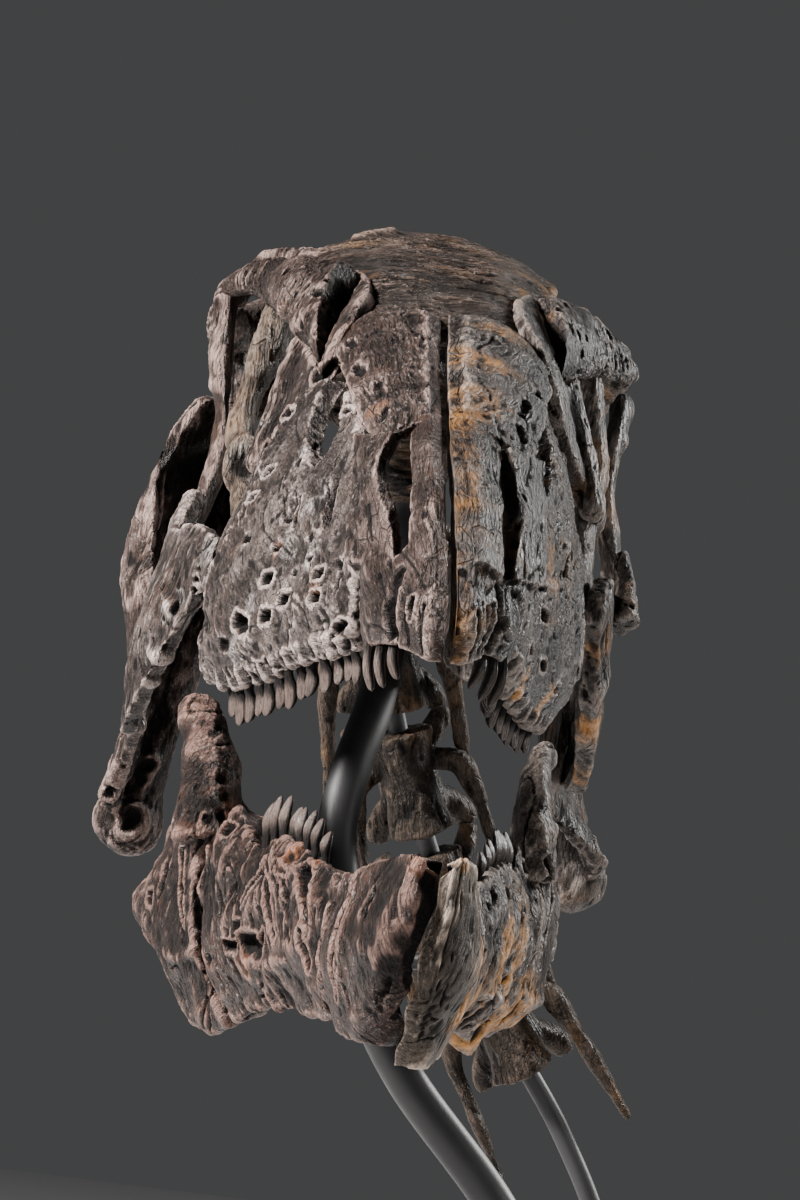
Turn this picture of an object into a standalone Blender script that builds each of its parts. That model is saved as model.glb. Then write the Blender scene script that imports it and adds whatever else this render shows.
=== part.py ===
"""Skull of a large plant-eating ornithopod dinosaur with its jaw and first neck bones, on a steel display stand.

Each bone is one object. Its blanks are lofts, bars and balls in the skull's own frame: millimetres, with the
first number the distance out from the middle plane, the second the distance back from the beak and the third
the height above the upper tooth row. The blanks of a bone are fused by a voxel remesh, thinned, and cut back
from the bones that they meet, so that a narrow suture stays between them.
"""

import math

import bmesh
import bpy
import numpy as np
from mathutils import Matrix, Vector

# Driving dimensions, in millimetres.
SUTURE = 0.35  # clearance that a bone keeps to the neighbour that it is cut back from
SNOUT_GAP = 1.4  # half of the open slit between the two sides of the snout
CHIN_GAP = 0.4  # half of the cleft between the two sides of the lower beak
SKULL_WALL = 6.0
JAW_WALL = 11.0
FUSE_VOXEL = 2.2

BASE_SIZE = (340.0, 400.0, 14.0)
BASE_ROUNDING = 3.0
BASE_CENTRE = (58.0, 325.0)  # below the skull, in the skull's frame
BEAK_HEIGHT = 430.0  # the beak above the underside of the base
NECK_BONES = 5
TUBE_DIAMETER = 14.0
JAW_BAR_DIAMETER = 6.0
NECK_ROD_DIAMETER = 8.0
FLANGE_DIAMETER = 70.0
NECK_FLANGE_DIAMETER = 48.0
FLANGE_THICKNESS = 8.0

MM = 0.001
RIGHT, LEFT = -1, 1
SIDES = {"right": RIGHT, "left": LEFT}

FOSSIL = ((0.17, 0.145, 0.125, 1.0), 0.62, 0.0)
TOOTH_ENAMEL = ((0.20, 0.18, 0.165, 1.0), 0.4, 0.0)
BLACK_STEEL = ((0.02, 0.02, 0.022, 1.0), 0.35, 0.9)


def clear_scene():
    for obj in list(bpy.data.objects):
        bpy.data.objects.remove(obj, do_unlink=True)


def material(name, look):
    colour, roughness, metallic = look
    made = bpy.data.materials.new(name)
    made.use_nodes = True
    shader = made.node_tree.nodes["Principled BSDF"]
    shader.inputs["Base Color"].default_value = colour
    shader.inputs["Roughness"].default_value = roughness
    shader.inputs["Metallic"].default_value = metallic
    return made


# ---------------------------------------------------------------- blanks

def smooth_through(points, steps):
    """Points along a smooth curve that passes through each of the given points (a Catmull-Rom spline)."""
    knots = np.asarray(points, float)
    padded = np.vstack([2 * knots[0] - knots[1], knots, 2 * knots[-1] - knots[-2]])
    made = [knots[0]]
    for i in range(len(knots) - 1):
        a, b, c, d = padded[i : i + 4]
        for t in np.linspace(0, 1, steps + 1)[1:]:
            made.append(
                0.5 * (2 * b + (c - a) * t + (2 * a - 5 * b + 4 * c - d) * t**2 + (3 * b - a - 3 * c + d) * t**3)
            )
    return np.array(made)


def mesh_from_grid(rows, closed_round=False):
    """A bmesh of quads over rows of points. A closed grid joins its last column to its first and caps its ends."""
    made = bmesh.new()
    grid = [[made.verts.new(point) for point in row] for row in rows]
    columns = len(grid[0])
    spans = columns if closed_round else columns - 1
    for low, high in zip(grid, grid[1:]):
        for j in range(spans):
            k = (j + 1) % columns
            made.faces.new((low[j], low[k], high[k], high[j]))
    if closed_round:
        made.faces.new(grid[0][::-1])
        made.faces.new(grid[-1])
    return made


def sheet(sections, thickness, steps=3, inward=1.0):
    """A plate of bone lofted through its sections. inward runs from 1, all of the wall on the side of the
    middle plane, to 0, half of it on each side."""
    across = [smooth_through(section, steps) for section in sections]
    rows = np.stack([smooth_through([row[j] for row in across], steps) for j in range(len(across[0]))], axis=1)
    along = np.gradient(rows, axis=0)
    over = np.gradient(rows, axis=1)
    normal = np.cross(along, over)
    normal /= np.linalg.norm(normal, axis=2, keepdims=True) + 1e-9
    if normal[..., 0].mean() + 0.5 * normal[..., 2].mean() < 0:
        normal = -normal
    outer = rows + normal * thickness * (1 - inward) / 2
    inner = outer - normal * thickness
    made = bmesh.new()
    skins = [[[made.verts.new(p) for p in row] for row in skin] for skin in (outer, inner)]
    last_row, last_column = len(rows) - 1, len(rows[0]) - 1
    for skin in skins:
        for i in range(last_row):
            for j in range(last_column):
                made.faces.new((skin[i][j], skin[i + 1][j], skin[i + 1][j + 1], skin[i][j + 1]))
    rim = [(i, 0) for i in range(last_row)] + [(last_row, j) for j in range(last_column)]
    rim += [(i, last_column) for i in range(last_row, 0, -1)] + [(0, j) for j in range(last_column, 0, -1)]
    for (i, j), (m, n) in zip(rim, rim[1:] + rim[:1]):
        made.faces.new((skins[0][i][j], skins[0][m][n], skins[1][m][n], skins[1][i][j]))
    return made


def bar(points, halves, wide=(1.0, 0.0, 0.0), steps=3, sides=10):
    """A bar with elliptical sections along a smooth path. halves gives, at each point, half of its width along
    the direction wide and half of its depth across that."""
    path = smooth_through(points, steps)
    sizes = smooth_through([(a, b, 0.0) for a, b in halves], steps)
    heading = np.gradient(path, axis=0)
    heading /= np.linalg.norm(heading, axis=1, keepdims=True)
    across = np.asarray(wide, float) - heading * (heading @ np.asarray(wide, float))[:, None]
    across /= np.linalg.norm(across, axis=1, keepdims=True)
    deep = np.cross(heading, across)
    turns = np.linspace(0, 2 * math.pi, sides, endpoint=False)
    rows = [
        centre + size[0] * a * np.cos(turns)[:, None] + size[1] * b * np.sin(turns)[:, None]
        for centre, size, a, b in zip(path, sizes, across, deep)
    ]
    return mesh_from_grid(rows, closed_round=True)


def ball(centre, radii, along=(0.0, 1.0, 0.0), through=(1.0, 0.0, 0.0)):
    """An ellipsoid with its radii through, along and across."""
    along = Vector(along).normalized()
    through = Vector(through)
    through = (through - along * through.dot(along)).normalized()
    turn = Matrix((through, along, through.cross(along))).transposed().to_4x4()
    made = bmesh.new()
    bmesh.ops.create_uvsphere(made, u_segments=14, v_segments=9, radius=1.0)
    size = Matrix.Diagonal((*radii, 1.0))
    bmesh.ops.transform(made, matrix=Matrix.Translation(centre) @ turn @ size, verts=made.verts)
    return made


def cone(sections, steps=3, sides=12):
    """A solid lofted through ovals, each given by its centre and the vectors to its top and to its side."""
    centres, tops, outs = (smooth_through([section[k] for section in sections], steps) for k in range(3))
    turns = np.linspace(0, 2 * math.pi, sides, endpoint=False)
    rows = [
        centre + top * np.cos(turns)[:, None] + out * np.sin(turns)[:, None]
        for centre, top, out in zip(centres, tops, outs)
    ]
    return mesh_from_grid(rows, closed_round=True)


def tooth(root, tip, width, thickness):
    """A crown that swells below its root and narrows to its tip, set across the line of the jaw."""
    root, tip = np.asarray(root, float), np.asarray(tip, float)
    fall = tip - root
    points = [root - 0.35 * fall, root + 0.45 * fall, tip]
    halves = [(0.38, 0.40), (0.5, 0.5), (0.14, 0.14)]
    sized = [(width * a, thickness * b) for a, b in halves]
    return bar(points, sized, wide=(0.35, 0.94, 0.0), steps=1, sides=4)


def skewed(x, y, z):
    """How far the crushed skull's middle line has moved to the left at a place, easing to nothing to each side."""
    if z > -40:
        line = np.interp(y, (0, 24, 66, 136, 178, 230), (1.0, -2.0, -4.0, -3.5, -2.0, 0.0))
    else:
        line = np.interp(z, (-112, -83, -57), (2.5, 4.7, 8.0)) * np.interp(y, (50, 90), (1.0, 0.0))
    return line * max(0.0, 1 - abs(x) / 24)


# ---------------------------------------------------------------- from blanks to bones

class Workshop:
    """Turns blanks into finished bones and keeps each one, so that its neighbours can be cut back from it."""

    def __init__(self, collection, mount):
        self.collection = collection
        self.mount = mount
        self.bones = {}

    def object_of(self, name, source):
        mesh = bpy.data.meshes.new(name)
        bmesh.ops.recalc_face_normals(source, faces=source.faces)
        source.to_mesh(mesh)
        source.free()
        made = bpy.data.objects.new(name, mesh)
        self.collection.objects.link(made)
        return made

    def joined(self, blanks, side):
        """All blanks in one mesh, mirrored to the side, in metres."""
        whole = bmesh.new()
        for blank in blanks:
            bmesh.ops.recalc_face_normals(blank, faces=blank.faces)
            part = bpy.data.meshes.new("blank")
            blank.to_mesh(part)
            blank.free()
            whole.from_mesh(part)
            bpy.data.meshes.remove(part)
        bmesh.ops.transform(whole, matrix=Matrix.Diagonal((side * MM, MM, MM, 1.0)), verts=whole.verts)
        if side < 0:
            bmesh.ops.reverse_faces(whole, faces=whole.faces)
        return whole

    def settle(self, obj):
        """Applies the object's modifiers and keeps its largest closed body."""
        graph = bpy.context.evaluated_depsgraph_get()
        mesh = bpy.data.meshes.new_from_object(obj.evaluated_get(graph))
        obj.modifiers.clear()
        old, obj.data = obj.data, mesh
        bpy.data.meshes.remove(old)
        work = bmesh.new()
        work.from_mesh(mesh)
        bmesh.ops.remove_doubles(work, verts=work.verts, dist=1e-6)
        bmesh.ops.triangulate(work, faces=work.faces)
        islands, seen = [], set()
        for start in work.verts:
            if start in seen:
                continue
            seen.add(start)
            island, queue = [], [start]
            while queue:
                vert = queue.pop()
                island.append(vert)
                for edge in vert.link_edges:
                    other = edge.other_vert(vert)
                    if other not in seen:
                        seen.add(other)
                        queue.append(other)
            islands.append(island)
        islands.sort(key=len)
        loose = [vert for island in islands[:-1] for vert in island]
        bmesh.ops.delete(work, geom=loose, context="VERTS")
        work.to_mesh(mesh)
        work.free()

    def boolean(self, obj, other, operation):
        cut = obj.modifiers.new("joint", "BOOLEAN")
        cut.operation = operation
        cut.solver = "EXACT"
        cut.object = other
        self.settle(obj)

    def swollen(self, obj, proud):
        """A copy of a bone that stands proud of it all round, to cut a neighbour with."""
        work = bmesh.new()
        work.from_mesh(obj.data)
        work.normal_update()
        for vert, normal in [(v, v.normal.copy()) for v in work.verts]:
            vert.co += normal * proud * MM
        return self.object_of("neighbour", work)

    def bone(self, name, blanks, triangles, side=LEFT, teeth=(), holes=(), meets=(), gap=None, look=None):
        """One bone: its blanks fused, holes cut, thinned to about that many triangles, teeth joined, and the
        bones that it meets cut away. A paired bone is trimmed flat, at that gap from the middle plane."""
        made = self.object_of(name, self.joined(blanks, side))
        fuse = made.modifiers.new("fuse", "REMESH")
        fuse.mode = "VOXEL"
        fuse.voxel_size = FUSE_VOXEL * MM
        soften = made.modifiers.new("soften", "SMOOTH")
        soften.factor = 0.5
        soften.iterations = 3
        self.settle(made)
        for hole in holes:
            cutter = self.object_of("hole", self.joined([hole], side))
            self.boolean(made, cutter, "DIFFERENCE")
            bpy.data.objects.remove(cutter)
        thin = made.modifiers.new("thin", "DECIMATE")
        thin.ratio = min(1.0, triangles / len(made.data.polygons))
        self.settle(made)
        for one in teeth:
            crown = self.object_of("crown", self.joined([one], side))
            self.boolean(made, crown, "UNION")
            bpy.data.objects.remove(crown)
        for neighbour in meets:
            for proud in (1.35 * SUTURE, 0.0):
                other = self.swollen(self.bones[neighbour], proud)
                self.boolean(made, other, "DIFFERENCE")
                bpy.data.objects.remove(other)
        if gap:
            slab = bmesh.new()
            bmesh.ops.create_cube(slab, size=1.0)
            bmesh.ops.transform(slab, matrix=Matrix.Diagonal((2 * gap, 2000, 2000, 1)), verts=slab.verts)
            middle = self.object_of("middle", self.joined([slab], side))
            self.boolean(made, middle, "DIFFERENCE")
            bpy.data.objects.remove(middle)
        made.data.materials.clear()
        made.data.materials.append(look)
        made.data.shade_smooth()
        made.data.set_sharp_from_angle(angle=math.radians(50))
        made.parent = self.mount
        self.bones[name] = made
        return made


# ---------------------------------------------------------------- the upper skull, one side

def premaxilla(side):
    """The beak knob, the bar between the nostril and the slit, and the wall behind the nostril."""
    beak = [
        [(0.5, 5, 0), (0.5, 3, 8), (0.5, 6, 18), (0.5, 12, 28), (0.5, 18, 37)],
        [(6, 8, 0), (7, 6, 9), (8, 9, 19), (8, 14, 29), (8, 20, 38)],
        [(11, 17, 3), (13, 16, 11), (13.5, 17, 20), (13, 20, 29), (12, 25, 36)],
        [(16, 27, 5), (18.5, 26, 12), (19, 27, 19), (18.5, 29, 25), (18, 31, 30)],
        [(19, 34, 5), (22, 34, 12), (23, 35, 20), (24, 37, 27), (23, 39, 33)],
        [(22, 46, 5), (24, 46, 12), (25, 47, 20), (26, 50, 30), (26, 53, 40)],
    ]
    wide = 12.5 if side == RIGHT else 15.5
    inner = [
        [(0.5, y, z), (0.55 * wide, y - 1, z + 0.5), (wide, y + 4, z - 2.5)]
        for y, z in ((15, 31), (27, 44), (42, 57), (62, 70), (86, 84))
    ]
    edge = (16.5, 19, 23.5, 24.5, 19.5) if side == RIGHT else (20, 21, 21.5, 20, 18)
    rise = (30, 44, 54, 64, 76)
    wall = [
        [(x, 30 + 1.02 * (z - 30), z), (0.5 * (x + 31), 39 + 1.04 * (z - 30), z), (31, 51 + 1.08 * (z - 30), z + 1)]
        for x, z in zip(edge, rise)
    ]
    return [sheet(beak, 9.0), sheet(inner, 7.5), sheet(wall, 5.5)]


def premaxilla_teeth():
    roots = [(19.5, 39, 9), (16.5, 34, 9), (13, 28.5, 7)]
    lengths = (15.0, 14.0, 12.0)
    return [tooth(r, (r[0] - 1.5, r[1] - 1, r[2] - n), 4.2, 4.0) for r, n in zip(roots, lengths)]


def nasal():
    plate = [
        [(0.5, 80, 80), (9, 80, 80.5), (17, 80, 78), (24, 84, 73)],
        [(0.5, 98, 89), (11, 98, 89), (20, 98, 86), (28, 98, 79)],
        [(0.5, 136, 107), (14, 136, 107), (25, 136, 103), (32, 134, 94)],
        [(0.5, 178, 126), (16, 178, 126), (28, 177, 121), (36, 174, 110)],
        [(0.5, 212, 138.5), (16, 212, 138), (28, 211, 133), (37, 208, 122.5)],
    ]
    return [sheet(plate, SKULL_WALL)]


def squeezed(x, y, z):
    """x on the left side of the upper jaw, which was crushed in behind the beak, most of all at the teeth."""
    return x - np.interp(y, (45, 105), (0, 1)) * np.interp(z, (0, 44, 110), (13.5, 9.0, 3.0))


def maxilla_margin(side):
    line = [(24, 52, 4), (31, 74, 3), (40, 108, 1), (48, 142, -2), (56, 172, -3), (65, 204, 0)]
    return line if side == RIGHT else [(squeezed(x, y, z), y, z) for x, y, z in line]


def maxilla(side):
    upper = [
        [(26, 52, 14), (27, 56, 28), (28, 66, 42), (28, 78, 56)],
        [(35, 75, 15), (35, 78, 32), (33, 86, 50), (29, 96, 70)],
        [(45, 108, 14), (43, 110, 36), (38, 112, 58), (29, 116, 82)],
        [(54, 142, 13), (53, 142, 38), (46, 142, 64), (32, 144, 94)],
        [(63, 172, 12), (62, 172, 40), (53, 174, 72), (35, 178, 108)],
        [(70, 206, 14), (68, 207, 44), (60, 211, 72), (47, 204, 104)],
    ]
    shelf = [(22, 60, 12), (30, 92, 12), (38, 130, 10), (46, 166, 9), (54, 196, 10)]
    if side == LEFT:
        upper = [[(squeezed(x, y, z), y, z) for x, y, z in row] for row in upper]
        shelf = [(squeezed(x, y, z), y, z) for x, y, z in shelf]
    wall = [[margin] + rest for margin, rest in zip(maxilla_margin(side), upper)]
    return [sheet(wall, SKULL_WALL), bar(shelf, [(6, 5)] * 5)]


def antorbital_openings(side):
    crushed = 0 if side == RIGHT else 4
    return [
        ball((38.5 - crushed, 160, 92), (11, 34, 13), along=(0, 0.8, 0.6)),
        ball((35 - 1.5 * crushed, 98, 52), (7, 10, 4.5), along=(0, 0.6, 0.8)),
    ]


def tooth_row(margin, count, start, end, drop, width, thickness):
    """Crowns along a jaw's margin, spaced evenly from start to end of its length."""
    line = smooth_through(margin, 12)
    places = np.linspace(start, end, count) * (len(line) - 1)
    made = []
    for at in places:
        low = int(at)
        root = line[low] + (line[min(low + 1, len(line) - 1)] - line[low]) * (at - low)
        root = root + np.array([-2.5, 0, 0])
        made.append(tooth(root, root + np.array([-0.8, 0, drop]), width, thickness))
    return made


def prefrontal():
    plate = [
        [(57.5, 217, 82), (53, 208, 89), (48, 200, 97), (43, 192, 105)],
        [(53, 224, 100), (48, 215, 107), (43, 206, 113), (38, 198, 119)],
        [(48, 234, 122), (44, 227, 127), (38, 220, 131), (32, 212, 135)],
        [(39, 246, 141), (36, 242, 144), (32, 236, 145), (27, 228, 146)],
        [(38, 264, 158), (34, 260, 158), (30, 254, 157), (25, 246, 153)],
    ]
    rim = [(59, 215, 76), (53.5, 223, 98), (48.5, 233, 119), (41, 247, 138)]
    return [sheet(plate, SKULL_WALL), bar(rim, [(4, 5)] * 4)]


def palpebral(side):
    if side == RIGHT:
        ovals = [
            ((36, 224, 134), (-1, 24, 25), (8, -7, 0)),
            ((47, 246, 143.5), (0, 15, 17.5), (7, -6, 0)),
            ((55, 265, 150), (0, 9, 12), (6, -5, 0)),
            ((66, 289, 154.5), (0, 5, 7), (4.5, -4, 0)),
            ((76, 308, 154), (0, 2.5, 3.5), (2.5, -2, 0)),
        ]
    else:
        ovals = [
            ((38, 238, 138), (-1, 18, 19), (6.5, -6, 0)),
            ((48, 260, 143), (0, 14, 16), (6, -6, 0)),
            ((59, 282, 145), (0, 10, 12), (5, -5, 0)),
            ((69, 300, 145), (0, 6, 8), (4, -4, 0)),
            ((77, 314, 144), (0, 3, 4), (2.5, -2, 0)),
        ]
    return [cone(ovals)]


def postorbital(side):
    if side == RIGHT:
        arch = [(42, 308, 166), (51, 326, 171), (60, 333, 168), (70, 328, 159), (75, 314, 150)]
    else:
        arch = [(44, 304, 160), (58, 316, 157), (69, 322, 151), (77, 326, 142), (78, 320, 130)]
    high = arch[-1][2]
    pillar = [
        (75, 315, high), (74, 306, 126), (71, 295, 103), (71, 287, 86), (75, 279, 66), (79, 274, 50),
    ]
    return [
        bar(arch, [(5, 6), (5, 6), (5, 6), (5, 6), (5, 5)], wide=(0, 0, 1)),
        bar(pillar, [(5, 7), (3.6, 6), (3.2, 6), (3.6, 6), (4, 7), (4, 8)]),
    ]


def squamosal(side):
    front = (71, 330, 156) if side == RIGHT else (74, 330, 143)
    rail = [front, (74, 348, 154), (72, 372, 147), (68, 384, 138)]
    back = [(73, 372, 149), (58, 385, 158), (38, 385, 168), (24, 378, 175)]
    return [
        bar(rail, [(5, 6), (5, 7), (8, 9), (6, 7)]),
        bar(back, [(6, 8), (5, 8), (5, 8), (6, 8)], wide=(0, 1, 0)),
    ]


def jugal(spread):
    plate = [
        [(65, 207, 39), (66, 206, 44), (65, 207, 49)],
        [(71, 227, 31), (75, 226, 42), (73, 226, 56)],
        [(78, 246, 16), (82, 246, 33), (78, 250, 56)],
        [(85, 272, 0), (88, 272, 22), (82, 274, 56)],
        [(89, 302, -13), (90, 298, 8), (86, 298, 34)],
        [(86, 324, -9), (89, 322, 6), (86, 322, 22)],
    ]
    riser = [(81, 272, 46), (80, 275, 60), (77, 278, 72)]
    return [
        sheet([[(60 + (x - 60) * spread, y, z) for x, y, z in row] for row in plate], 6.5, inward=0.0),
        bar(riser, [(5, 13), (4, 9), (3, 6)]),
    ]


def quadrate(spread):
    shaft = [(68, 376, 142), (64, 378, 112), (66, 380, 66), (72, 382, 20), (80, 384, -18), (84, 386, -38)]
    cheek = [
        [(86, 314, -10), (89, 314, 6), (89, 318, 22), (87, 330, 34)],
        [(89, 344, -20), (88, 345, 8), (97, 348, 52), (90, 344, 92)],
        [(94, 366, -36), (87, 364, 6), (91, 361, 54), (77, 348, 119)],
        [(88, 384, -42), (78, 382, 6), (72, 380, 58), (66, 376, 112)],
    ]
    flange = [
        [(64, 376, 32), (62, 377, 70), (64, 376, 110)],
        [(52, 360, 42), (50, 362, 70), (52, 362, 102)],
        [(38, 342, 50), (36, 344, 68), (38, 344, 86)],
    ]
    outer = [[(x * spread if z > -30 else x, y, z) for x, y, z in row] for row in cheek[:3]] + cheek[3:]
    return [
        bar(shaft, [(7, 8), (6, 7), (6, 7), (7, 8), (8, 9), (11, 10)]),
        ball((85, 386, -41), (13.5, 12, 13)),
        sheet(outer, 5.5, inward=0.0),
        sheet(flange, 5.0, inward=0.0),
    ]


def palate():
    plate = [
        [(20, 346, 42), (18, 346, 58), (20, 346, 74)],
        [(26, 290, 22), (24, 290, 40), (28, 290, 58)],
        [(34, 236, 18), (32, 236, 32), (38, 236, 46)],
        [(46, 205, 16), (45, 205, 26), (54, 206, 36)],
    ]
    strut = [(54, 290, 150), (57, 279, 130), (62, 275, 110), (64, 272, 98), (61, 263, 84)]
    foot = [(61, 262, 80), (60, 248, 64), (58, 230, 48), (50, 214, 32)]
    return [
        sheet(plate, 5.0, inward=0.0),
        bar(strut, [(5, 6), (6.5, 7), (4.5, 6), (4.5, 6), (6, 6)]),
        ball((60.5, 261, 83), (8.5, 5.5, 11.5)),
        bar(foot, [(5, 5), (4, 5), (4, 5), (5, 5)]),
    ]


# ---------------------------------------------------------------- bones that cross the middle plane

def skull_roof():
    half = [
        [(30, 204, 125), (16, 199, 131), (0, 197, 131.5)],
        [(33, 238, 142), (18, 232, 147.5), (0, 230, 148)],
        [(40, 274, 159), (20, 270, 165), (0, 268, 165.5)],
        [(46, 308, 170), (24, 306, 177), (0, 304, 178)],
        [(40, 338, 178), (22, 338, 187), (0, 336, 189)],
        [(30, 372, 172), (14, 372, 186), (0, 370, 188)],
        [(24, 390, 150), (12, 392, 160), (0, 392, 162)],
    ]
    return [sheet([row + [(-x, y, z) for x, y, z in row[-2::-1]] for row in half], 8.0)]


def braincase():
    paroccipital = [(-68, 389, 122), (-46, 391, 130), (-20, 388, 132), (20, 388, 132), (46, 391, 130), (68, 389, 122)]
    keel = [(0, 394, 106), (0, 366, 98), (0, 344, 82), (0, 334, 58)]
    return [
        ball((0, 356, 132), (27, 32, 40)),
        ball((0, 386, 136), (34, 10, 26)),
        bar(paroccipital, [(9, 5), (8, 5), (11, 6), (11, 6), (8, 5), (9, 5)], wide=(0, 0, 1)),
        bar(keel, [(12, 11), (14, 13), (15, 11), (13, 8)]),
        ball((0, 400, 107), (12, 10, 11)),
    ]


def foramen_magnum():
    return ball((0, 400, 134), (9, 22, 9))


# ---------------------------------------------------------------- the lower jaw, one side

def predentary(width, chin):
    scoop = [
        [(0.5, 40, -112 - chin), (0.5, 20, -100), (0.5, 10, -80), (0.5, 10, -62)],
        [(5, 37, -112 - chin), (6, 15, -98), (7, 8, -78), (7, 12, -56)],
        [(10, 42, -111 - chin), (13, 25, -98), (15, 20, -80), (13, 28, -58)],
        [(13, 58, -110 - chin), (18, 47, -97), (20, 42, -82), (17, 46, -62)],
        [(15, 76, -108 - 0.5 * chin), (20, 74, -95), (22, 72, -80), (19, 66, -62)],
    ]
    return [sheet([[(2 + (x - 2) * width, y, z) for x, y, z in row] for row in scoop], 9.0)]


DENTARY_MARGIN = [(17, 60, -65), (24, 97, -58), (30, 127, -53), (36, 155, -50), (43, 188, -51)]


def dentary(width):
    lower = [
        [(13, 66, -108), (19, 64, -95), (21, 62, -78)],
        [(17, 97, -106), (26, 97, -92), (29, 97, -70)],
        [(22, 127, -105), (32, 127, -90), (35, 127, -68)],
        [(29, 155, -105), (39, 155, -88), (42, 155, -66)],
        [(35, 192, -106), (46, 192, -86), (49, 192, -64)],
    ]
    end = [(41, 228, -112), (55, 230, -88), (58, 230, -60), (48, 224, -38)]
    rows = [row + [margin] for row, margin in zip(lower, DENTARY_MARGIN)] + [end]
    return [sheet([[(widened(x, y, width), y, z) for x, y, z in row] for row in rows], JAW_WALL)]


def widened(x, y, width):
    """Moves the front of a jaw half out by the width's share, easing to nothing where the tooth row ends."""
    return x * (1 + (width - 1) * max(0.0, 1 - y / 240))


def rear_jaw(sag, lean, stout):
    """The surangular, angular and articular with the coronoid process. sag lowers the ventral edge, lean moves
    the coronoid process in, and stout is the share of its full breadth that it has."""
    plate = [
        [(42, 234, -100 - sag), (57, 234, -88), (60, 234, -60), (50, 230, -38)],
        [(48, 262, -102 - sag), (64, 262, -90), (67, 260, -60), (62, 256, -30)],
        [(54, 290, -98 - sag), (68, 290, -88), (71, 288, -66), (68, 284, -44)],
        [(60, 318, -93 - 0.5 * sag), (72, 320, -84), (75, 318, -70), (73, 316, -57)],
        [(64, 348, -90), (74, 350, -80), (76, 350, -70), (74, 350, -61)],
        [(68, 384, -84), (76, 386, -78), (79, 386, -70), (76, 388, -64)],
    ]
    coronoid = [(57, 238, -50), (60 - 0.6 * lean, 240, -26), (65 - lean, 246, -10), (69 - lean, 252, -4)]
    return [
        sheet(plate, JAW_WALL),
        bar(coronoid, [(12.5 * stout, 14), (10 * stout, 12), (7.5 * stout, 9), (5 * stout, 5)]),
        ball((65 - lean, 249, -8), (7 * stout, 7, 6)),
        ball((69, 385, -72), (11, 14, 9)),
    ]


# ---------------------------------------------------------------- the neck

NECK_LINE = [(1, 428, 84), (8, 443, 38), (24, 456, -8), (46, 468, -54), (74, 478, -98), (104, 486, -138)]


def vertebra(number):
    """One neck bone, hung below the one before it, with its ribs swept down and back."""
    here = Vector(NECK_LINE[number])
    down = (Vector(NECK_LINE[min(number + 1, 5)]) - Vector(NECK_LINE[max(number - 1, 0)])).normalized()
    aside = (Vector((1, 0, 0)) - down * down.x).normalized()
    back = down.cross(aside)
    back = back if back.y > 0 else -back
    length = 19.0 + 0.8 * number

    def at(out, behind, below):
        return tuple(here + aside * out + back * behind + down * below)

    wide = tuple(aside)
    made = [
        bar([at(0, 0, -length), at(0, -1, 0), at(0, 0, length)], [(14, 12), (9.5, 9), (14, 12)], wide=wide),
        bar([at(0, 16, -length * 0.7), at(0, 17, length * 0.8)], [(12, 8), (13, 8)], wide=wide),
        bar([at(0, 20, 2), at(0, 33, 6), at(0, 40, 9)], [(3.5, 12), (3, 10), (3, 7)], wide=wide),
    ]
    for out in (-1, 1):
        knob = [at(out * 9, 16, -length * 0.5), at(out * 17, 18, -length * 0.9), at(out * 19, 19, -length - 3)]
        lower = [at(out * 9, 18, length * 0.5), at(out * 17, 22, length), at(out * 18, 23, length + 6)]
        rib = [at(out * 8, 4, -8), at(out * 21, 2, -3), at(out * 25, 2, 12), at(out * 27, 6, 38), at(out * 29, 12, 62)]
        made += [
            bar(knob, [(5, 5), (5, 4), (4, 3)], wide=wide),
            bar(lower, [(5, 5), (5, 4), (4, 3)], wide=wide),
            bar(rib, [(4.5, 4.5), (4.5, 4), (4, 3), (3, 2.6), (2, 2)], wide=wide),
        ]
    return made


# ---------------------------------------------------------------- the stand

TUBE_ROUTE = [
    (0, 338, 82), (0, 312, 56), (-3, 279, 12), (-10, 262, -19), (-12, 253, -46), (-1, 243, -86), (20, 237, -122),
    (58, 237, -163), (88, 244, -208), (98, 254, -270), (100, 258, -340), (100, 258, -408),
]
JAW_BAR_ENDS = [(-35, 212, -78), (44, 212, -78)]
NECK_ROD_ROUTE = NECK_LINE + [(126, 480, -180), (138, 468, -230), (142, 460, -290), (142, 458, -350), (142, 458, -408)]


def plate(name, size, centre, rounding, shop):
    bpy.ops.mesh.primitive_cube_add(size=1.0)
    made = bpy.context.active_object
    made.name = name
    made.data.transform(Matrix.Diagonal([side * MM for side in size] + [1.0]))
    edge = made.modifiers.new("rounding", "BEVEL")
    edge.width = rounding * MM
    edge.segments = 2
    return seated(made, centre, shop)


def disc(name, diameter, thickness, centre, shop):
    bpy.ops.mesh.primitive_cylinder_add(vertices=32, radius=diameter * MM / 2, depth=thickness * MM)
    made = bpy.context.active_object
    made.name = name
    return seated(made, centre, shop)


def seated(obj, centre, shop):
    """Moves a solid's mesh to its centre and files the solid with the rest."""
    obj.data.transform(Matrix.Translation(Vector(centre) * MM))
    for other in list(obj.users_collection):
        other.objects.unlink(obj)
    shop.collection.objects.link(obj)
    shop.settle(obj)
    return obj


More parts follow.
